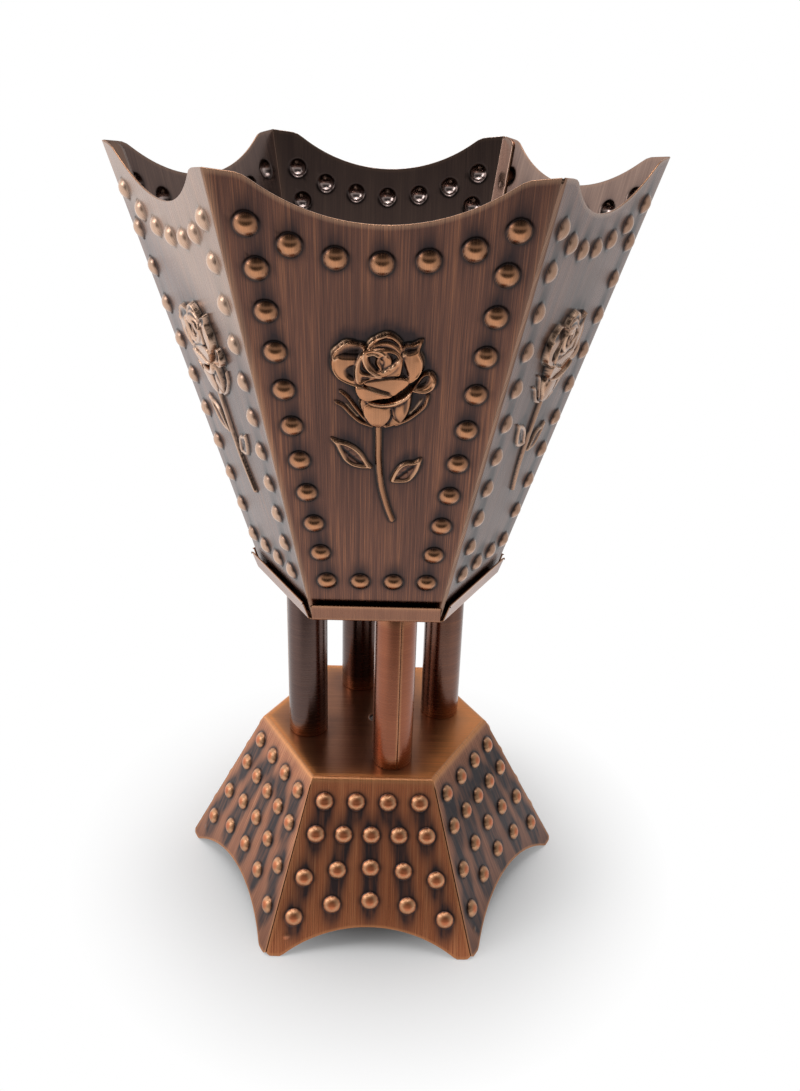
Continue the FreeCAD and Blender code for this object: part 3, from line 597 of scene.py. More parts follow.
def bowl_side_mesh(name, side, net, wear_and_painted_light, lapped):
    """Side with a fold at one end. The other end is plain, or is lapped under the next side."""
    line = rim_line(side)
    tangent = bowl_bend * math.tan(fold_turn / 2)
    plain = seam_setback / math.sin(fold_turn)
    lap = lap_setback + tangent
    bend = bowl_bend * fold_turn
    main, fold_columns, lap_columns, tab_columns, rows = 50, 4, 5, 6, 102
    # Columns run from the fold to the other end, which is mirrored for a lapped side
    columns = fold_columns + main + (lap_columns + tab_columns if lapped else 0)
    tab_high = side.length - tab_drop

    def tab_reach(s):
        grow = smooth((s - tab_foot) / 0.8)
        over = (s - (tab_high - tab_round)).clip(0) / tab_round
        return tab_width * grow * np.sqrt(np.clip(1 - over ** 2, 0, 1))

    def place(i, q):
        near, far = tangent, (lap if lapped else plain)
        j = np.round(q * rows)
        s = q * side.length
        for _ in range(25):
            half = side.half(s)
            x = near - half + spread_out(i - fold_columns, main, 2 * half - near - far)
            s = spread_out(j, rows, line(x))
        x = np.where(i < fold_columns, x - bend / 2 * (fold_columns - i) / fold_columns, x)
        k = i - fold_columns - main
        x = np.where(k > 0, x + bend * np.minimum(k, lap_columns) / lap_columns, x)
        x = np.where(k > lap_columns, x + tab_reach(s) * (k - lap_columns) / tab_columns, x)
        return (-x if lapped else x), s

    def fold(x, s):
        """The fold lies at low u on a plain side and at high u on a lapped one."""
        turned = -x if lapped else x
        start = side.half(s) - tangent
        over = np.clip((-turned - start) / bowl_bend, 0, fold_turn / 2)
        u = np.where(over > 0, -start - bowl_bend * np.sin(over), turned)
        w = -bowl_bend * (1 - np.cos(over))
        end = over > fold_turn / 2 - 1e-4
        u = np.where(end, -side.half(s) - w * side.rise * slope30, u)
        if lapped:
            start = side.half(s) - lap
            over = np.clip((turned - start) / bowl_bend, 0, fold_turn)
            extra = np.clip(turned - start - bend, 0, None)
            around = start + bowl_bend * np.sin(over) + extra * math.cos(fold_turn)
            u = np.where(over > 0, around, u)
            w = w - bowl_bend * (1 - np.cos(over)) - extra * math.sin(fold_turn)
        return (-u if lapped else u), s, w

    # Bright band along the fold and line along the rim: rubbed edges and painted highlights.
    def edge_of(x, s):
        side_gap = side.half(s) - np.abs(x)
        band = np.exp(-(np.clip(side_gap, 0, None) / 1.1) ** 2) * 0.35
        rim_gap = line(np.clip(np.abs(x), 0, side.half(s))) - s
        return np.maximum(band, 0.4 * np.exp(-(rim_gap / 0.4) ** 2))

    bm = flat_pattern(columns, rows, place, net, relief_masks(net) + [net.fine])
    mesh = press_and_fold(name, bm, net, wear_and_painted_light, edge_of, fold)
    if lapped:
        mesh.flip_normals()
    return mesh


# Base flaps

def base_relief(side):
    """Four rows of bosses, the lower two sagging, and one small mark by a toe."""
    net = Net(48.0, 84.0)
    for row, (count, sag) in enumerate(zip((4, 5, 5, 5), (0.0, 0.0, 4.9, 8.0))):
        height = side.length - base_row_first - row * base_row_pitch
        reach = side.half(height - sag) - base_row_inset
        for i in range(count):
            along = 2 * i / (count - 1) - 1
            net.boss(reach * along, height - sag * along ** 2)
    net.boss(-36.5, 9.4, 1.3, 0.3, 0.08)
    return net


def base_flap_mesh(name, side, net, wear_and_painted_light):
    """Flap from its scalloped edge up over the bend to the top."""
    turn = math.pi / 2 - math.acos(side.rise)
    bend_start = side.length - base_bend * math.tan(turn / 2)
    toe_s = toe_radius - toe_flat
    centre_s = arch_rise - arch_radius
    toe_u = math.sqrt((arch_radius + toe_radius) ** 2 - (toe_s - centre_s) ** 2)
    join_u = toe_u * arch_radius / (arch_radius + toe_radius)
    bend_rows, main_rows, columns = 9, 54, 62

    def foot_line(u):
        a = np.abs(u)
        arch = centre_s + np.sqrt(arch_radius ** 2 - np.minimum(a, join_u) ** 2)
        toe = toe_s - np.sqrt(np.maximum(toe_radius ** 2 - (a - toe_u) ** 2, 0.01))
        return np.maximum(np.where(a < join_u, arch, toe), 0.29)

    def turned(y):
        over = np.clip((y - bend_start) / base_bend, 0, turn)
        s = np.minimum(y, bend_start) + base_bend * np.sin(over)
        return s, -base_bend * (1 - np.cos(over))

    def half(y):
        s, w = turned(y)
        apothem = side.apothem + s * side.flare + w * side.rise
        z = s * side.rise - w * side.flare
        gap = base_slit / 2 / share30 * smooth((base_slit_top - z) / 0.8 + 0.5)
        return apothem * slope30 - gap

    def place(i, q):
        j = np.round(q * (bend_rows + main_rows))
        y = q * bend_start
        for _ in range(25):
            x = spread_out(i, columns, 2 * half(y)) - half(y)
            foot = foot_line(x)
            y = foot + spread_out(j, main_rows, bend_start - foot)
        bend = spread_out(j - main_rows, bend_rows, base_bend * turn, 0.05)
        y = np.where(j > main_rows, bend_start + bend, y)
        return spread_out(i, columns, 2 * half(y)) - half(y), y

    def fold(x, y):
        return x, *turned(y)

    # Bright bands along the slits, over the top bend and along the foot: rubbed edges and painted
    # highlights on the bends.
    def edge_of(x, y):
        side_gap = half(y) - np.abs(x)
        top_gap = np.abs(y - bend_start - 1.2)
        foot_gap = y - foot_line(x)
        return (0.7 * np.exp(-((side_gap - 0.35) / 0.4) ** 2) + np.exp(-(top_gap / 1.7) ** 2)
                + 0.7 * np.exp(-(foot_gap / 0.6) ** 2))

    bm = flat_pattern(columns, bend_rows + main_rows, place, net, relief_masks(net))
    return press_and_fold(name, bm, net, wear_and_painted_light, edge_of, fold)


def hexagon_angle(x, y):
    """Angle from the middle of the nearest side of an upright six-sided plan."""
    return math.degrees(math.atan2(y, x)) % hexagon_turn - hexagon_turn / 2


def base_top_mesh():
    """Flat top inside the bends, with its drawn-down centre hole."""
    turn = math.pi / 2 - math.acos(base_side(30).rise)
    reach = (base_top_radius * share30 - base_bend * math.tan(turn / 2)) / share30
    bm = bmesh.new()
    rings = []
    insets = (0.0, 0.25, 1.2, 2.6, 4.5, 7.0, 12.0, 20.0, 30.0)
    steps = [(reach - inset, 0.0, True) for inset in insets]
    steps += [(radius, drop, False) for radius, drop in
              ((8.0, 0.0), (3.6, 0.0), (3.2, 0.02), (2.8, 0.1), (2.45, 0.35), (2.3, 0.8))]
    for radius, drop, six_sided in steps:
        done = set(bm.edges)
        ring = bmesh.ops.create_circle(bm, segments=96, radius=radius)["verts"]
        if six_sided:
            for v in ring:
                v.co *= share30 / math.cos(math.radians(hexagon_angle(v.co.x, v.co.y)))
        bmesh.ops.translate(bm, vec=(0, 0, base_height - drop), verts=ring)
        rings.append([e for e in bm.edges if e not in done])
    for a, b in zip(rings, rings[1:]):
        bmesh.ops.bridge_loops(bm, edges=a + b)
    face_out(bm, lambda f: f.normal.z)
    mesh = plain_mesh("base_top", bm, lambda co: (co.y * 10, co.x * 10))
    colour = np.zeros((len(mesh.vertices), 4), np.float32)
    for v in mesh.vertices:
        x, y = v.co.x / mm, v.co.y / mm
        gap = reach * share30 - math.hypot(x, y) * math.cos(math.radians(hexagon_angle(x, y)))
        hole = math.hypot(x, y) - 2.6
        colour[v.index, 0] = math.exp(-(max(hole, 0) / 0.6) ** 2)
        # Bright along the edge by the bends, rubbing and painted highlight, with a painted
        # highlight towards the right.
        colour[v.index, 2] = (0.9 * math.exp(-(gap / 1.6) ** 2) + 0.35 * math.exp(-(gap / 6.0) ** 2)
                              + 0.8 * smooth((x - 8) / 24) * math.exp(-(gap / 16.0) ** 2))
        # Darker round the foot of each pillar.
        for azimuth in map(math.radians, pillar_turns.values()):
            near = math.hypot(x - pillar_circle * math.cos(azimuth),
                              y - pillar_circle * math.sin(azimuth)) - pillar_radius
            colour[v.index, 3] = max(colour[v.index, 3], math.exp(-(max(near, 0) / 5.0) ** 2))
    paint(mesh, colour)
    return mesh


def slit_strip_mesh():
    """Six strips that join the flaps behind the slits, each in two halves."""
    bm = bmesh.new()
    for turn in range(0, 360, 60):
        for end in (-1, 1):
            side = base_side(turn - 30 * end)
            low, high = strip_foot, side.length - strip_drop
            strip = bmesh.ops.create_grid(bm, x_segments=6, y_segments=30, size=0.5)["verts"]
            for v in strip:
                s = low + (high - low) * (v.co.y + 0.5)
                cut = 0.5 * smooth((s - high + 1.5) / 1.5) + 0.5 * smooth((low + 1.5 - s) / 1.5)
                near = end * (side.half(s) - strip_width) - (cut if end < 0 else 0)
                far = end * (side.half(s) + 0.1)
                a, b = sorted((near, far))
                v.co = (a + (b - a) * (v.co.x + 0.5), s, -sheet - 0.02)
            bmesh.ops.transform(bm, matrix=in_mm @ side.matrix, verts=strip)
    # The full crease and the slit finish paint the shadow inside the slits on these strips.
    return plain_mesh("base_slit_strips", bm, lambda co: (co.x * 10 + co.y * 7, co.z * 10),
                      (1, 0, 0, 0))


# Tray

def tray_mesh():
    """Six-sided floor and six lips, each bent up from it and notched at the corners."""
    turn = math.pi / 2 - math.radians(lip_lean)
    radius, clip_start = 1.0, 0.965
    tangent = radius * math.tan(turn / 2)
    bm = bmesh.new()
    floor = bmesh.ops.create_circle(bm, cap_ends=True, segments=6,
                                    radius=tray_radius - tangent / share30)["verts"]
    stand = Matrix.Translation((0, 0, tray_under)) @ Matrix.Rotation(math.radians(30), 4, "Z")
    bmesh.ops.transform(bm, matrix=stand, verts=floor)
    face_out(bm, lambda f: -f.normal.z)
    bend_rows, lip_rows, columns = 7, 9, 26
    rows = bend_rows + lip_rows
    half = tray_radius / 2 - lip_notch
    for turn_to in range(30, 360, 60):
        side = tray_side(turn_to)
        lip = bmesh.ops.create_grid(bm, x_segments=columns, y_segments=rows, size=0.5)["verts"]
        for v in lip:
            i, j = round((v.co.x + 0.5) * columns), round((v.co.y + 0.5) * rows)
            psi = turn * (1 - min(j / bend_rows, 1))
            climb = float(spread_out(max(j - bend_rows, 0), lip_rows, side.length - tangent))
            corner = max(abs(v.co.x) * 2 - clip_start, 0) / (1 - clip_start) * (j == rows)
            v.co = (float(spread_out(i, columns, 2 * half)) - half,
                    tangent - radius * math.sin(psi) + climb - 0.5 * corner,
                    -radius * (1 - math.cos(psi)))
        bmesh.ops.transform(bm, matrix=in_mm @ side.matrix, verts=lip)
    mesh = plain_mesh("bowl_tray", bm)
    for polygon in mesh.polygons:
        polygon.use_smooth = len(polygon.vertices) == 4
    uv = mesh.uv_layers["pattern"].data
    for loop in mesh.loops:
        co = mesh.vertices[loop.vertex_index].co
        angle = math.floor(math.degrees(math.atan2(co.y, co.x)) / hexagon_turn) * hexagon_turn + 30
        turn_back = math.radians(angle)
        across = -co.x * math.sin(turn_back) + co.y * math.cos(turn_back)
        uv[loop.index].uv = (across * 10 + angle * 0.37, (co.z + math.hypot(co.x, co.y)) * 10)
    z = points_of(mesh)[:, 2] / mm
    top_gap, bend_gap = tray_under + lip_rise - z, z - tray_under - 0.2
    colour = np.zeros((len(z), 4), np.float32)
    # Bright lines at the lips' top edge and along their bend: rubbed edges and painted highlights.
    colour[:, 2] = np.exp(-(top_gap / 0.9) ** 2) + 0.8 * np.exp(-(bend_gap / 0.7) ** 2)
    paint(mesh, colour)
    return mesh


# Pillars

def spun(bm, profile, start=0.0, **spin):
    """Spin a profile of radius and height round the upright axis."""
    verts = [bm.verts.new((r * math.cos(start), r * math.sin(start), z)) for r, z in profile]
    edges = [bm.edges.new(pair) for pair in zip(verts, verts[1:])]
    bmesh.ops.spin(bm, geom=verts + edges, cent=(0, 0, 0), axis=(0, 0, 1), use_duplicate=False,
                   **spin)


def pillar_mesh(name, azimuth):
    """Rolled tube with an open seam, its ends slightly rounded."""
    low, high = base_height, tray_under
    turn = math.radians(azimuth)
    x, y = pillar_circle * math.cos(turn), pillar_circle * math.sin(turn)
    round_in, steps = 0.45, 4
    end = [math.pi / 2 * k / steps for k in range(steps + 1)]
    end = [(pillar_radius - round_in * (1 - math.sin(a)), low + round_in * (1 - math.cos(a)))
           for a in end]
    middle = [(pillar_radius, low + (high - low) * t) for t in (0.1, 0.3, 0.5, 0.7, 0.9)]
    gap = pillar_seam / pillar_radius
    bm = bmesh.new()
    spun(bm, end + middle + [(r, low + high - z) for r, z in reversed(end)],
         start=turn + gap / 2, angle=2 * math.pi - gap, steps=120)
    face_out(bm, lambda f: f.calc_center_median().xy.dot(f.normal.xy))
    bmesh.ops.translate(bm, vec=(x, y, 0), verts=bm.verts)
    mesh = plain_mesh(name, bm)
    co = points_of(mesh) / mm
    angle = (np.arctan2(co[:, 1] - y, co[:, 0] - x) - turn) % (2 * math.pi)
    seam = np.minimum(angle, 2 * math.pi - angle) * pillar_radius
    ends = np.minimum(co[:, 2] - low, high - co[:, 2])
    colour = np.zeros((len(co), 4), np.float32)
    # Bright at the ends and beside the seam: rubbed edges and painted highlights.
    colour[:, 2] = np.exp(-(ends / 0.8) ** 2) + 0.7 * np.exp(-((seam - 0.5) / 0.4) ** 2)
    paint(mesh, colour)
    uv = mesh.uv_layers["pattern"].data
    for polygon in mesh.polygons:
        turns = [angle[mesh.loops[i].vertex_index] for i in polygon.loop_indices]
        for i, a in zip(polygon.loop_indices, turns):
            if max(turns) - min(turns) > math.pi and a > math.pi:
                a -= 2 * math.pi
            z = co[mesh.loops[i].vertex_index, 2]
            uv[i].uv = (z * mm * 10, a * pillar_radius * mm * 10 + azimuth * 0.013)
    return mesh


# Charcoal dish

def dish_mesh():
    """Pressed dish with a rolled bead and two pressed rings in its floor."""
    bead_level, floor_level = 197.514, 177.514
    bead, wall, corner_round = 1.5, 0.8, 4.0
    bead_centre, floor_radius = 56.0 - bead, 38.0
    lean = math.atan2(bead_centre - floor_radius, bead_level - floor_level)
    opening = math.pi / 2 - lean
    corner_r = floor_radius - corner_round * math.tan(opening / 2)
    corner = [opening * k / 6 for k in range(7)]

    def arc(centre, level, radius, angles):
        return [(centre + radius * math.sin(a), level - radius * math.cos(a)) for a in angles]

    start = 2 * math.pi - lean
    end = start + 2 * math.pi - math.asin(wall / bead)
    profile = [(0.0, floor_level), (20.0, floor_level)]
    profile += arc(corner_r, floor_level + corner_round, corner_round, corner)
    profile += arc(bead_centre, bead_level, bead, np.linspace(start, end, 18))
    profile += arc(corner_r, floor_level + corner_round, corner_round - wall, reversed(corner))
    profile += [(r, floor_level + wall + rise) for r, rise in
                ((30.0, 0), (29.0, 0.5), (28.0, 0.6), (27.0, 0.5), (26.0, 0), (16.0, 0),
                 (15.2, 0.4), (14.4, 0.5), (13.6, 0.4), (12.8, 0), (0.0, 0))]
    bm = bmesh.new()
    spun(bm, profile, angle=2 * math.pi, steps=128, use_merge=True)
    bmesh.ops.remove_doubles(bm, verts=bm.verts, dist=0.001)
    bmesh.ops.recalc_face_normals(bm, faces=bm.faces)
    return plain_mesh("charcoal_dish_pressed", bm)


# Finishes

def tone(colour):
    """Colour as it is seen, 0 to 255."""
    seen = [c / 255 for c in colour]
    return (*(c / 12.92 if c <= 0.04045 else ((c + 0.055) / 1.055) ** 2.4 for c in seen), 1.0)


def grey(level):
    return level, level, level, 1.0


class Recipe:
    """Short ways to add the nodes of a tree and to join them. Each gives outputs."""

    def __init__(self, tree):
        self.tree = tree
        tree.nodes.clear()

    def add(self, kind, inputs=None, **settings):
        node = self.tree.nodes.new("ShaderNode" + kind)
        for key, value in settings.items():
            setattr(node, key, value)
        for key, value in (inputs or {}).items():
            if isinstance(value, bpy.types.NodeSocket):
                self.tree.links.new(value, node.inputs[key])
            else:
                node.inputs[key].default_value = value
        return node.outputs

    def noise(self, vector, scale, detail=2.0, rough=0.5, place=(0, 0, 0)):
        spot = self.add("Mapping", {"Vector": vector, "Scale": scale, "Location": place})[0]
        return self.add("TexNoise", {"Vector": spot, "Scale": 1.0, "Detail": detail,
                                     "Roughness": rough})[0]

    def maths(self, kind, a, b, c=0.0, clamp=False):
        return self.add("Math", {0: a, 1: b, 2: c}, operation=kind, use_clamp=clamp)[0]

    def fit(self, value, low, high, to_low=0.0, to_high=1.0, curve="LINEAR"):
        ends = {"From Min": low, "From Max": high, "To Min": to_low, "To Max": to_high}
        return self.add("MapRange", {"Value": value, **ends}, interpolation_type=curve)[0]

    def mix(self, share, a, b):
        return self.add("Mix", {0: share, 6: a, 7: b}, data_type="RGBA")[2]

    def ramp(self, value, stops):
        output = self.add("ValToRGB", {"Fac": value})[0]
        elements = output.node.color_ramp.elements
        while len(elements) < len(stops):
            elements.new(0.5)
        for element, (place, colour) in zip(elements, stops):
            element.position, element.color = place, colour
        return output

    def bump(self, height, strength):
        return self.add("Bump", {"Height": height, "Strength": strength, "Distance": 0.00003})[0]


class Finish(Recipe):
    """Nodes of one material."""

    def __init__(self, name):
        self.material = bpy.data.materials.new(name)
        self.material.use_nodes = True
        super().__init__(self.material.node_tree)

    def surface(self, shader):
        self.add("OutputMaterial", {"Surface": shader})
        return self.material

    def metal(self, **inputs):
        names = {key.replace("_", " "): value for key, value in inputs.items()}
        return self.surface(self.add("BsdfPrincipled", {"Metallic": 1.0, **names})[0])


def antique_copper(name, tones, patina, crease, bright, edge, patina_and_shade=0.8, rough=0.3, coat=0.3,
                   streak=1.0, ruddy=None, scuff=0.0):
    """Brushed copper plate: streaks along the pattern, patina in creases, rubbed proud places. The
    patina patch also carries each side's painted shade, the bright edge tone also paints highlights
    along bends and edges, and the ruddy tone on the highest crowns is a painted reflection.
    """
    tones = [tone(colour) for colour in tones]
    patina, crease, bright, edge = map(tone, (patina, crease, bright, edge))
    f = Finish(name)
    pattern = f.add("UVMap", uv_map="pattern")[0]
    wear_and_painted_light = f.add("Attribute", attribute_name="wear_and_painted_light")
    creased, proud, edged = f.add("SeparateColor", {"Color": wear_and_painted_light["Color"]})
    hair = f.noise(pattern, (560, 3.4, 1), 2.0, 0.6)
    fine = f.noise(pattern, (270, 2.4, 1), 3.0, 0.7, (3.1, 0, 0))
    streaks = f.noise(pattern, (140, 1.4, 1), 3.0, 0.65, (5.3, 1.0, 0))
    broad = f.noise(pattern, (22, 0.8, 1), 2.0, 0.5, (7.7, 2.0, 0))
    cloud = f.noise(pattern, (3.0, 1.2, 1), 2.0, 0.5, (1.7, 5.0, 0))
    blotch = f.noise(pattern, (40, 3.0, 1), 3.0, 0.6, (2.0, 9.0, 0))
    value = f.maths("MULTIPLY", f.fit(hair, 0.3, 0.7), 0.18)
    for noise, share in ((fine, 0.42), (streaks, 0.22), (broad, 0.18)):
        value = f.maths("MULTIPLY_ADD", f.fit(noise, 0.29, 0.71), share, value)
    value = f.fit(value, 0.5 - 0.36 / streak, 0.5 + 0.36 / streak)
    colour = f.ramp(value, [(0.1, tones[0]), (0.5, tones[1]), (0.9, tones[2])])
    colour = f.mix(f.fit(cloud, 0.35, 0.75, 0.0, 0.35), colour, tones[0])
    # Patina patches, which also carry the painted shade of the sides' copies.
    patch = f.maths("MULTIPLY", wear_and_painted_light["Alpha"], f.fit(blotch, 0.3, 0.62, 0.65, 1.12))
    patch = f.maths("MULTIPLY", patch, patina_and_shade, clamp=True)
    colour = f.mix(patch, colour, patina)
    colour = f.mix(f.maths("MULTIPLY", creased, 0.9, clamp=True), colour, crease)
    # Rubbed proud places; in the inside finish these are painted glints in the dimples.
    rubbed = f.maths("MULTIPLY", proud, f.fit(hair, 0.25, 0.7, 0.7, 1.1), clamp=True)
    # Painted reflection: the highest crowns turn to the ruddy tone.
    top = f.mix(f.fit(proud, 0.78, 1.0), bright, tone(ruddy)) if ruddy else bright
    colour = f.mix(rubbed, colour, top)
    # Bright edges: rubbed metal and painted highlights along bends and edges.
    edge_wear_and_highlight = f.maths("MULTIPLY", edged, f.fit(fine, 0.25, 0.6, 0.45, 1.0), clamp=True)
    colour = f.mix(edge_wear_and_highlight, colour, edge)
    roughness = f.maths("MULTIPLY_ADD", f.fit(fine, 0.25, 0.75), 0.14,
                        f.fit(patch, 0.0, 1.0, rough - 0.05, rough + 0.06))
    roughness = f.maths("MULTIPLY_ADD", f.maths("MULTIPLY_ADD", proud, 0.5, edge_wear_and_highlight), scuff, roughness)
    return f.metal(
        Base_Color=colour, Roughness=roughness, Normal=f.bump(f.maths("ADD", hair, fine), 0.35),
        Tangent=f.add("Tangent", direction_type="UV_MAP", uv_map="pattern")[0],
        Anisotropic=0.55, Coat_Weight=coat, Coat_Roughness=0.16, Coat_IOR=1.5)


def spun_steel(name, base, tint, rough):
    """Plain pressed or plated steel with fine marks and a faint heat or zinc bloom."""
    f = Finish(name)
    place = f.add("TexCoord")["Object"]
    bloom = f.noise(place, (60, 60, 60), 3.0, 0.6)
    grain = f.noise(place, (900, 900, 5000), 2.0, 0.6)
    colour = f.mix(f.fit(bloom, 0.35, 0.7), tone(base), tone(tint))
    colour = f.mix(f.fit(grain, 0.3, 0.8, 0.0, 0.35), colour, tone((70, 66, 62)))
    roughness = f.fit(f.maths("ADD", bloom, grain), 0.6, 1.4, rough, rough + 0.16)
    return f.metal(Base_Color=colour, Roughness=roughness, Normal=f.bump(grain, 0.3),
                   Anisotropic=0.3)


# Lit and shaded copies of the copper finish, one for each way a side faces the light: the bowl's
# copies differ in bright, edge and ruddy tones, a painted sheen, then the flaps' copies in tones
# and patina, painted light and shade.
bowl_outside_lit_copies = {name: antique_copper(
    "bowl_copper_outside_lit_copy_" + name, ((70, 47, 41), (104, 69, 57), (158, 105, 76)),
    (46, 33, 34), (22, 16, 16), bright, edge, 1.0, 0.24, 0.35, 1.0, ruddy)
    for name, bright, edge, ruddy in (
        ("front", (182, 129, 92), (226, 180, 144), (196, 136, 96)),
        ("left", (206, 172, 148), (226, 190, 164), (204, 164, 136)),
        ("right", (196, 158, 132), (222, 184, 156), (188, 146, 118)))}
# Flap finish in three lit and shaded copies: the front copy lightest, the left and right copies
# darker with darker patina, as painted light and shade.
base_flaps_lit_copies = {name: antique_copper(
    "base_copper_flaps_lit_copy_" + name, tones, patina, (38, 27, 26), (220, 170, 128), (236, 168, 114),
    0.95, 0.27, 0.35, 0.85, (204, 118, 76), 0.3)
    for name, tones, patina in (
        ("front", ((160, 93, 62), (210, 127, 84), (246, 171, 120)), (68, 54, 55)),
        ("left", ((134, 83, 59), (180, 115, 81), (222, 156, 114)), (50, 41, 43)),
        ("right", ((106, 68, 51), (146, 95, 70), (188, 132, 100)), (44, 38, 42)))}
# Inside finish in two copies, the right-hand inner sides lighter than the back as painted light.
# Its bright and crease tones paint glints and dark rings into the dimples.
bowl_inside, bowl_inside_lit_right = (antique_copper(
    "bowl_copper_inside_lit_copy_" + name, tones,
    (74, 56, 52), (32, 25, 25), (190, 170, 164), (170, 132, 108), 0.4, 0.16, 0.5, 0.8)
    for name, tones in (("back", ((78, 60, 56), (102, 80, 72), (130, 104, 90))),
                        ("right", ((104, 82, 74), (134, 108, 96), (162, 134, 118)))))
cut_edge = antique_copper(
    "sheet_edge_copper", ((130, 92, 70), (164, 120, 92), (200, 152, 116)),
    (90, 62, 50), (70, 48, 38), (180, 130, 94), (176, 130, 98), 0.2, 0.34, 0.1)
# Cut edges of the base darker than the bowl's, painted shade so that the slits read dark.
base_edge_painted_shade = antique_copper(
    "base_edge_painted_shade_copper", ((52, 32, 25), (78, 48, 35), (116, 74, 52)),
    (60, 40, 32), (30, 20, 17), (120, 80, 56), (120, 80, 56), 0.2, 0.4, 0.1)
# All-dark finish of the strips behind the slits: painted shadow.
slit_painted_shadow = antique_copper(
    "slit_painted_shadow", ((34, 17, 14), (46, 23, 18), (60, 31, 23)),
    (30, 17, 14), (24, 13, 11), (60, 34, 26), (60, 34, 26), 0.3, 0.6, 0.0)
base_plate = antique_copper(
    "base_copper_top", ((116, 75, 55), (146, 97, 71), (178, 120, 86)),
    (88, 59, 49), (44, 30, 25), (190, 134, 94), (236, 160, 98), 0.6, 0.3, 0.3, 0.6, None, 0.3)
tray_finish = antique_copper(
    "tray_copper", ((118, 80, 64), (148, 102, 80), (178, 126, 98)),
    (66, 46, 40), (44, 30, 25), (190, 134, 94), (194, 140, 104), 0.5, 0.26, 0.35, 0.55)
# Four lit and shaded copies of the pillars' finish, one per pillar: the front one lightest and
# reddest, the back one darkest, as painted light and shade.
pillar_lit_copies = {name: antique_copper(
    "pillar_copper_lit_copy_" + name, tones,
    (66, 46, 40), (38, 25, 21), (190, 134, 94), (196, 138, 98), 0.5, 0.24, 0.3, 0.5)
    for name, tones in (("front", ((120, 68, 48), (146, 86, 60), (176, 110, 78))),
                        ("right", ((92, 63, 53), (116, 80, 66), (160, 106, 76))),
                        ("back", ((62, 44, 40), (78, 56, 50), (108, 74, 58))),
                        ("left", ((76, 56, 52), (92, 70, 64), (120, 90, 76))))}
dish_finish = spun_steel("dish_heat_tinted_steel", (150, 142, 134), (124, 106, 88), 0.26)
zinc_finish = spun_steel("fastener_zinc", (170, 170, 172), (150, 148, 140), 0.28)


# Pieces

bowl = bowl_side(0)
bowl_net = bowl_relief(bowl)
bowl_wear_and_painted_light = wear_and_painted_light_of(bowl_net, 1.9, 4.4, 2.8, 2.3)
blossom = (bowl_net.height > 0.3) & (np.abs(bowl_net.U) < 20) & (np.abs(bowl_net.S - 90) < 45)
around = np.maximum(1.7 * bowl_net.blur(blossom.astype(float), 3.0, 6.0),
                    1.5 * bowl_net.blur(blossom.astype(float), 8.0, 14.0)) * (bowl_net.height < 0.5)
bowl_wear_and_painted_light["halo"] = np.maximum(bowl_wear_and_painted_light["halo"], around)
patterns = {part: bowl_side_mesh("bowl_side", bowl, bowl_net, bowl_wear_and_painted_light, part == "lapped")
            for part in ("lapped", "plain")}
left_turn, right_turn, back_right_turn = 210, 330, 30
# Painted light and shade per side: a lighter top with painted glare on the left side, painted shade
# over the foot of the left and right sides.
bowl_painted_side_shading = {left_turn: (0.2, 0.9, 0.26), right_turn: (0.9, 1.2, 0.35)}
# Lit copies: each side takes the copy of the outside finish for the way it faces the light.
bowl_lit_copy_of = {left_turn: "left", right_turn: "right"}
for number, (sheet_name, azimuth) in enumerate((("right", 0), ("back", 120), ("front", 240))):
    for half, part in enumerate(patterns):
        turn = (azimuth - 30 + 60 * half) % 360
        name = "bowl_" + sheet_name + "_" + part + "_side"
        mesh = place_copy(patterns[part], name, bowl_side(turn).matrix,
                          (0.37 * turn, 1.3 * number + half), bowl_painted_side_shading.get(turn, (1, 1, 0)),
                          0.36 if turn == left_turn else 0.0)
        # The right-hand inner sides take the lighter, lit copy of the inside finish.
        inside = bowl_inside_lit_right if turn in (back_right_turn, right_turn) else bowl_inside
        outside = bowl_outside_lit_copies[bowl_lit_copy_of.get(turn, "front")]
        piece(name, mesh, (outside, inside, cut_edge), ["bowl_sheet_" + sheet_name])

flap = base_side(0)
flap_net = base_relief(flap)
flap_wear_and_painted_light = wear_and_painted_light_of(flap_net, 1.8, 5.8, -1.2, 3.6)
flap_wear_and_painted_light["halo"] *= smooth((flap.length - 3.0 - flap_net.S) / 8.0)
flap_pattern = base_flap_mesh("base_flap", flap, flap_net, flap_wear_and_painted_light)
# Patina factors per flap that also paint shade: the side and back flaps get more patina and more
# painted shade over the foot than the front.
flap_patina_and_side_shade = {210: (1.4, 1.5, 0.35), 270: (1.2, 1.3, 0.0)}
# Lit copies: each flap takes the copy of the finish for the way it faces the light.
flap_lit_copy_of = {270: "front", 90: "front", 210: "left", 150: "left"}
for k, turn in enumerate(range(30, 360, 60)):
    name = "base_flap_" + str(turn)
    mesh = place_copy(flap_pattern, name, base_side(turn).matrix, (0.41 * turn, 0.9 * k),
                      flap_patina_and_side_shade.get(turn, (1.8, 1.9, 0.6)))
    outside = base_flaps_lit_copies[flap_lit_copy_of.get(turn, "right")]
    piece(name, mesh, (outside, bowl_inside, base_edge_painted_shade), ["base_shell"])
piece("base_top", base_top_mesh(), (base_plate, bowl_inside, base_edge_painted_shade),
      ["base_shell"])
piece("base_slit_strips", slit_strip_mesh(), (slit_painted_shadow, bowl_inside, base_edge_painted_shade),
      ["base_shell"])
piece("bowl_tray_folded", tray_mesh(), (tray_finish, tray_finish, cut_edge),
      ["bowl_tray"])
for name, azimuth in pillar_turns.items():
    full_name = "pillar_" + name + "_rolled"
    piece(full_name, pillar_mesh(full_name, azimuth),
          (pillar_lit_copies[name], bowl_inside, cut_edge), ["pillar_" + name])
piece("charcoal_dish_pressed", dish_mesh(), (dish_finish,), ["charcoal_dish"],
      "charcoal_dish", 0)
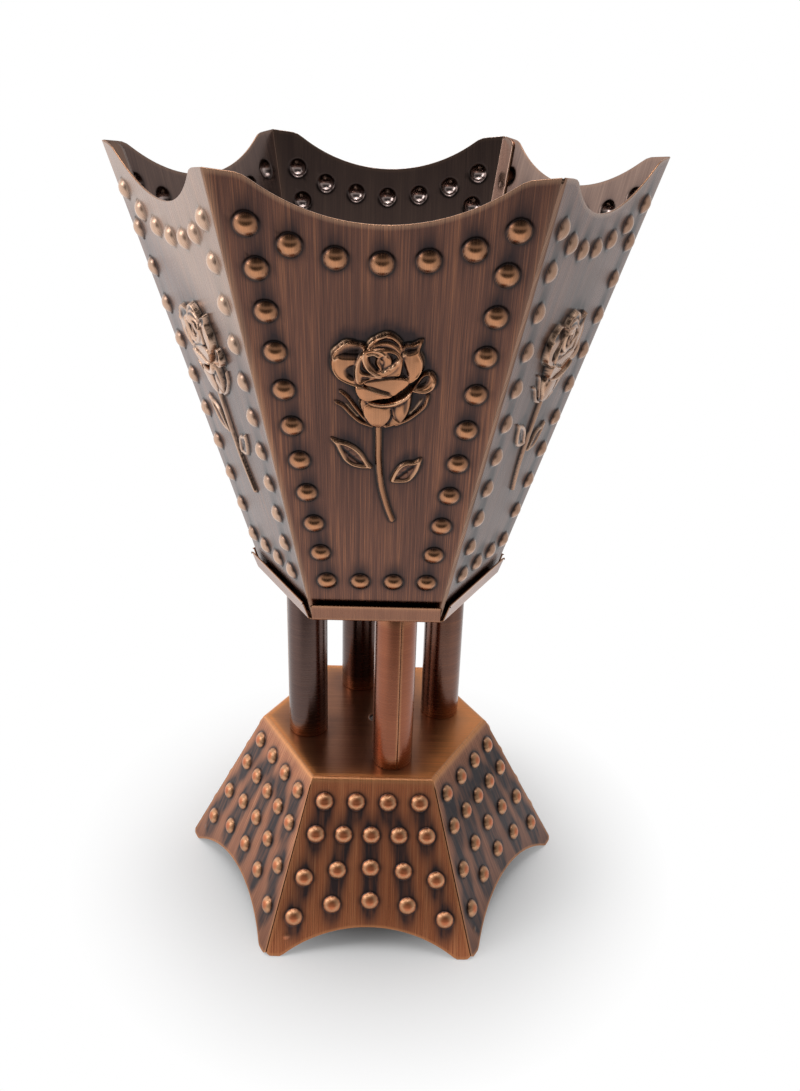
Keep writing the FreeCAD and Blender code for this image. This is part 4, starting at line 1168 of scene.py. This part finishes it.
for name in ("tie_bolts", "tie_nuts", "tray_washers", "base_washers"):
    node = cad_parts[name]
    node.data.materials.clear()
    node.data.materials.append(zinc_finish)


# Floor, light and camera

def white_floor(radius=0.24, fade_start=0.06, fade_end=0.15):
    """Matt paper that keeps the shadow near the object and fades to plain white further out."""
    f = Finish("floor_paper")
    place = f.add("TexCoord")["Object"]
    distance = f.add("VectorMath", {0: place}, operation="LENGTH")["Value"]
    grain = f.noise(place, (400, 400, 400), 3.0, 0.6)
    paper = f.mix(f.fit(grain, 0.3, 0.7, 0.0, 0.3), grey(0.95), grey(0.91))
    matt = f.add("BsdfDiffuse", {"Color": paper, "Roughness": 0.4})[0]
    glow = f.add("Emission", {"Color": grey(1.0), "Strength": 1.0})[0]
    path = f.add("LightPath")
    seen = f.maths("MAXIMUM", path["Is Camera Ray"],
                   f.maths("MAXIMUM", path["Is Glossy Ray"], path["Is Transmission Ray"]))
    far = f.maths("MULTIPLY", f.fit(distance, fade_start, fade_end), seen, clamp=True)
    f.surface(f.add("MixShader", {0: far, 1: matt, 2: glow})[0])
    bm = bmesh.new()
    bmesh.ops.create_circle(bm, cap_ends=True, segments=96, radius=radius)
    mesh = bpy.data.meshes.new("floor")
    bm.to_mesh(mesh)
    bm.free()
    floor = bpy.data.objects.new("floor", mesh)
    mesh.materials.append(f.material)
    scene.collection.objects.link(floor)


def studio():
    """White to the camera. The metal sees a pale room, dim in front where one stands to look."""
    world = bpy.data.worlds.new("studio")
    scene.world = world
    world.use_nodes = True
    w = Recipe(world.node_tree)
    x, y, z = w.add("SeparateXYZ", {0: w.add("TexCoord")["Generated"]})
    height = w.fit(z, -1.0, 1.0)
    room, person = (w.ramp(height, [(at, grey(level)) for at, level in levels]) for levels in (
        ((0.0, 0.95), (0.5, 1.0), (0.66, 0.95), (0.8, 0.6), (1.0, 0.45)),
        ((0.2, 0.3), (0.33, 0.05), (0.47, 0.06), (0.56, 0.36), (0.66, 0.42), (0.72, 0.14),
         (0.8, 0.05))))
    lifted = w.maths("ADD", z, -0.06)
    upright = w.maths("MULTIPLY", lifted, w.fit(z, 0.0, 0.15, 1.35, 0.92))
    reach = w.maths("ADD", w.maths("POWER", x, 2.0), w.maths("POWER", upright, 2.0))
    around = w.fit(reach, 0.5, 0.95, curve="SMOOTHSTEP")
    behind = w.fit(y, -0.35, 0.0, curve="SMOOTHSTEP")
    share = w.maths("MAXIMUM", around, behind)
    sideways = w.maths("MULTIPLY", w.fit(x, 0.1, 0.9, 1.0, 0.66), w.fit(x, -0.7, -0.3, 1.15, 1.0))
    side_lit = w.add("VectorMath", {0: room, "Scale": sideways}, operation="SCALE")["Vector"]
    level = w.mix(w.add("LightPath")["Is Camera Ray"], w.mix(share, person, side_lit), grey(1.0))
    w.add("OutputWorld", {"Surface": w.add("Background", {"Color": level})[0]})


def softbox(name, place, target, size, watts):
    light = bpy.data.lights.new(name, "AREA")
    light.shape = "RECTANGLE"
    light.size, light.size_y = size
    light.energy = watts
    lamp = bpy.data.objects.new(name, light)
    lamp.location = place
    aim = Vector(target) - Vector(place)
    lamp.rotation_euler = aim.to_track_quat("-Z", "Y").to_euler()
    scene.collection.objects.link(lamp)


def photo_camera():
    """Camera fitted to the object's corners, bosses and feet."""
    yaw, pitch, roll = map(math.radians, (0.856, -25.677, 1.791))
    place = Vector((3.503, -402.27, 358.93)) * mm
    focal_pixels, frame_pixels, sensor = 1004.66, 1091, 36.0
    forward = Vector((math.sin(yaw) * math.cos(pitch), math.cos(yaw) * math.cos(pitch),
                      math.sin(pitch)))
    right = Vector((math.cos(yaw), -math.sin(yaw), 0))
    above = right.cross(forward)
    right, above = (math.cos(roll) * right + math.sin(roll) * above,
                    -math.sin(roll) * right + math.cos(roll) * above)
    data = bpy.data.cameras.new("camera")
    data.sensor_width = sensor
    data.lens = sensor * focal_pixels / frame_pixels
    data.clip_start = 0.01
    camera = bpy.data.objects.new("camera", data)
    camera.matrix_world = Matrix([[right[i], above[i], -forward[i], place[i]] for i in range(3)]
                                 + [[0, 0, 0, 1]])
    scene.collection.objects.link(camera)
    scene.camera = camera


white_floor()
studio()
softbox("overhead", (-0.1, 0.1, 1.6), (0, 0, 0.1), (1.3, 1.3), 11.0)
softbox("ceiling_lamp", (0.0, 0.14, 1.6), (0, 0, 0.1), (0.2, 0.2), 4.0)
softbox("left_window", (-1.2, -0.3, 0.9), (0, 0, 0.2), (0.5, 0.8), 4.0)
photo_camera()
scene.view_settings.view_transform = "Standard"
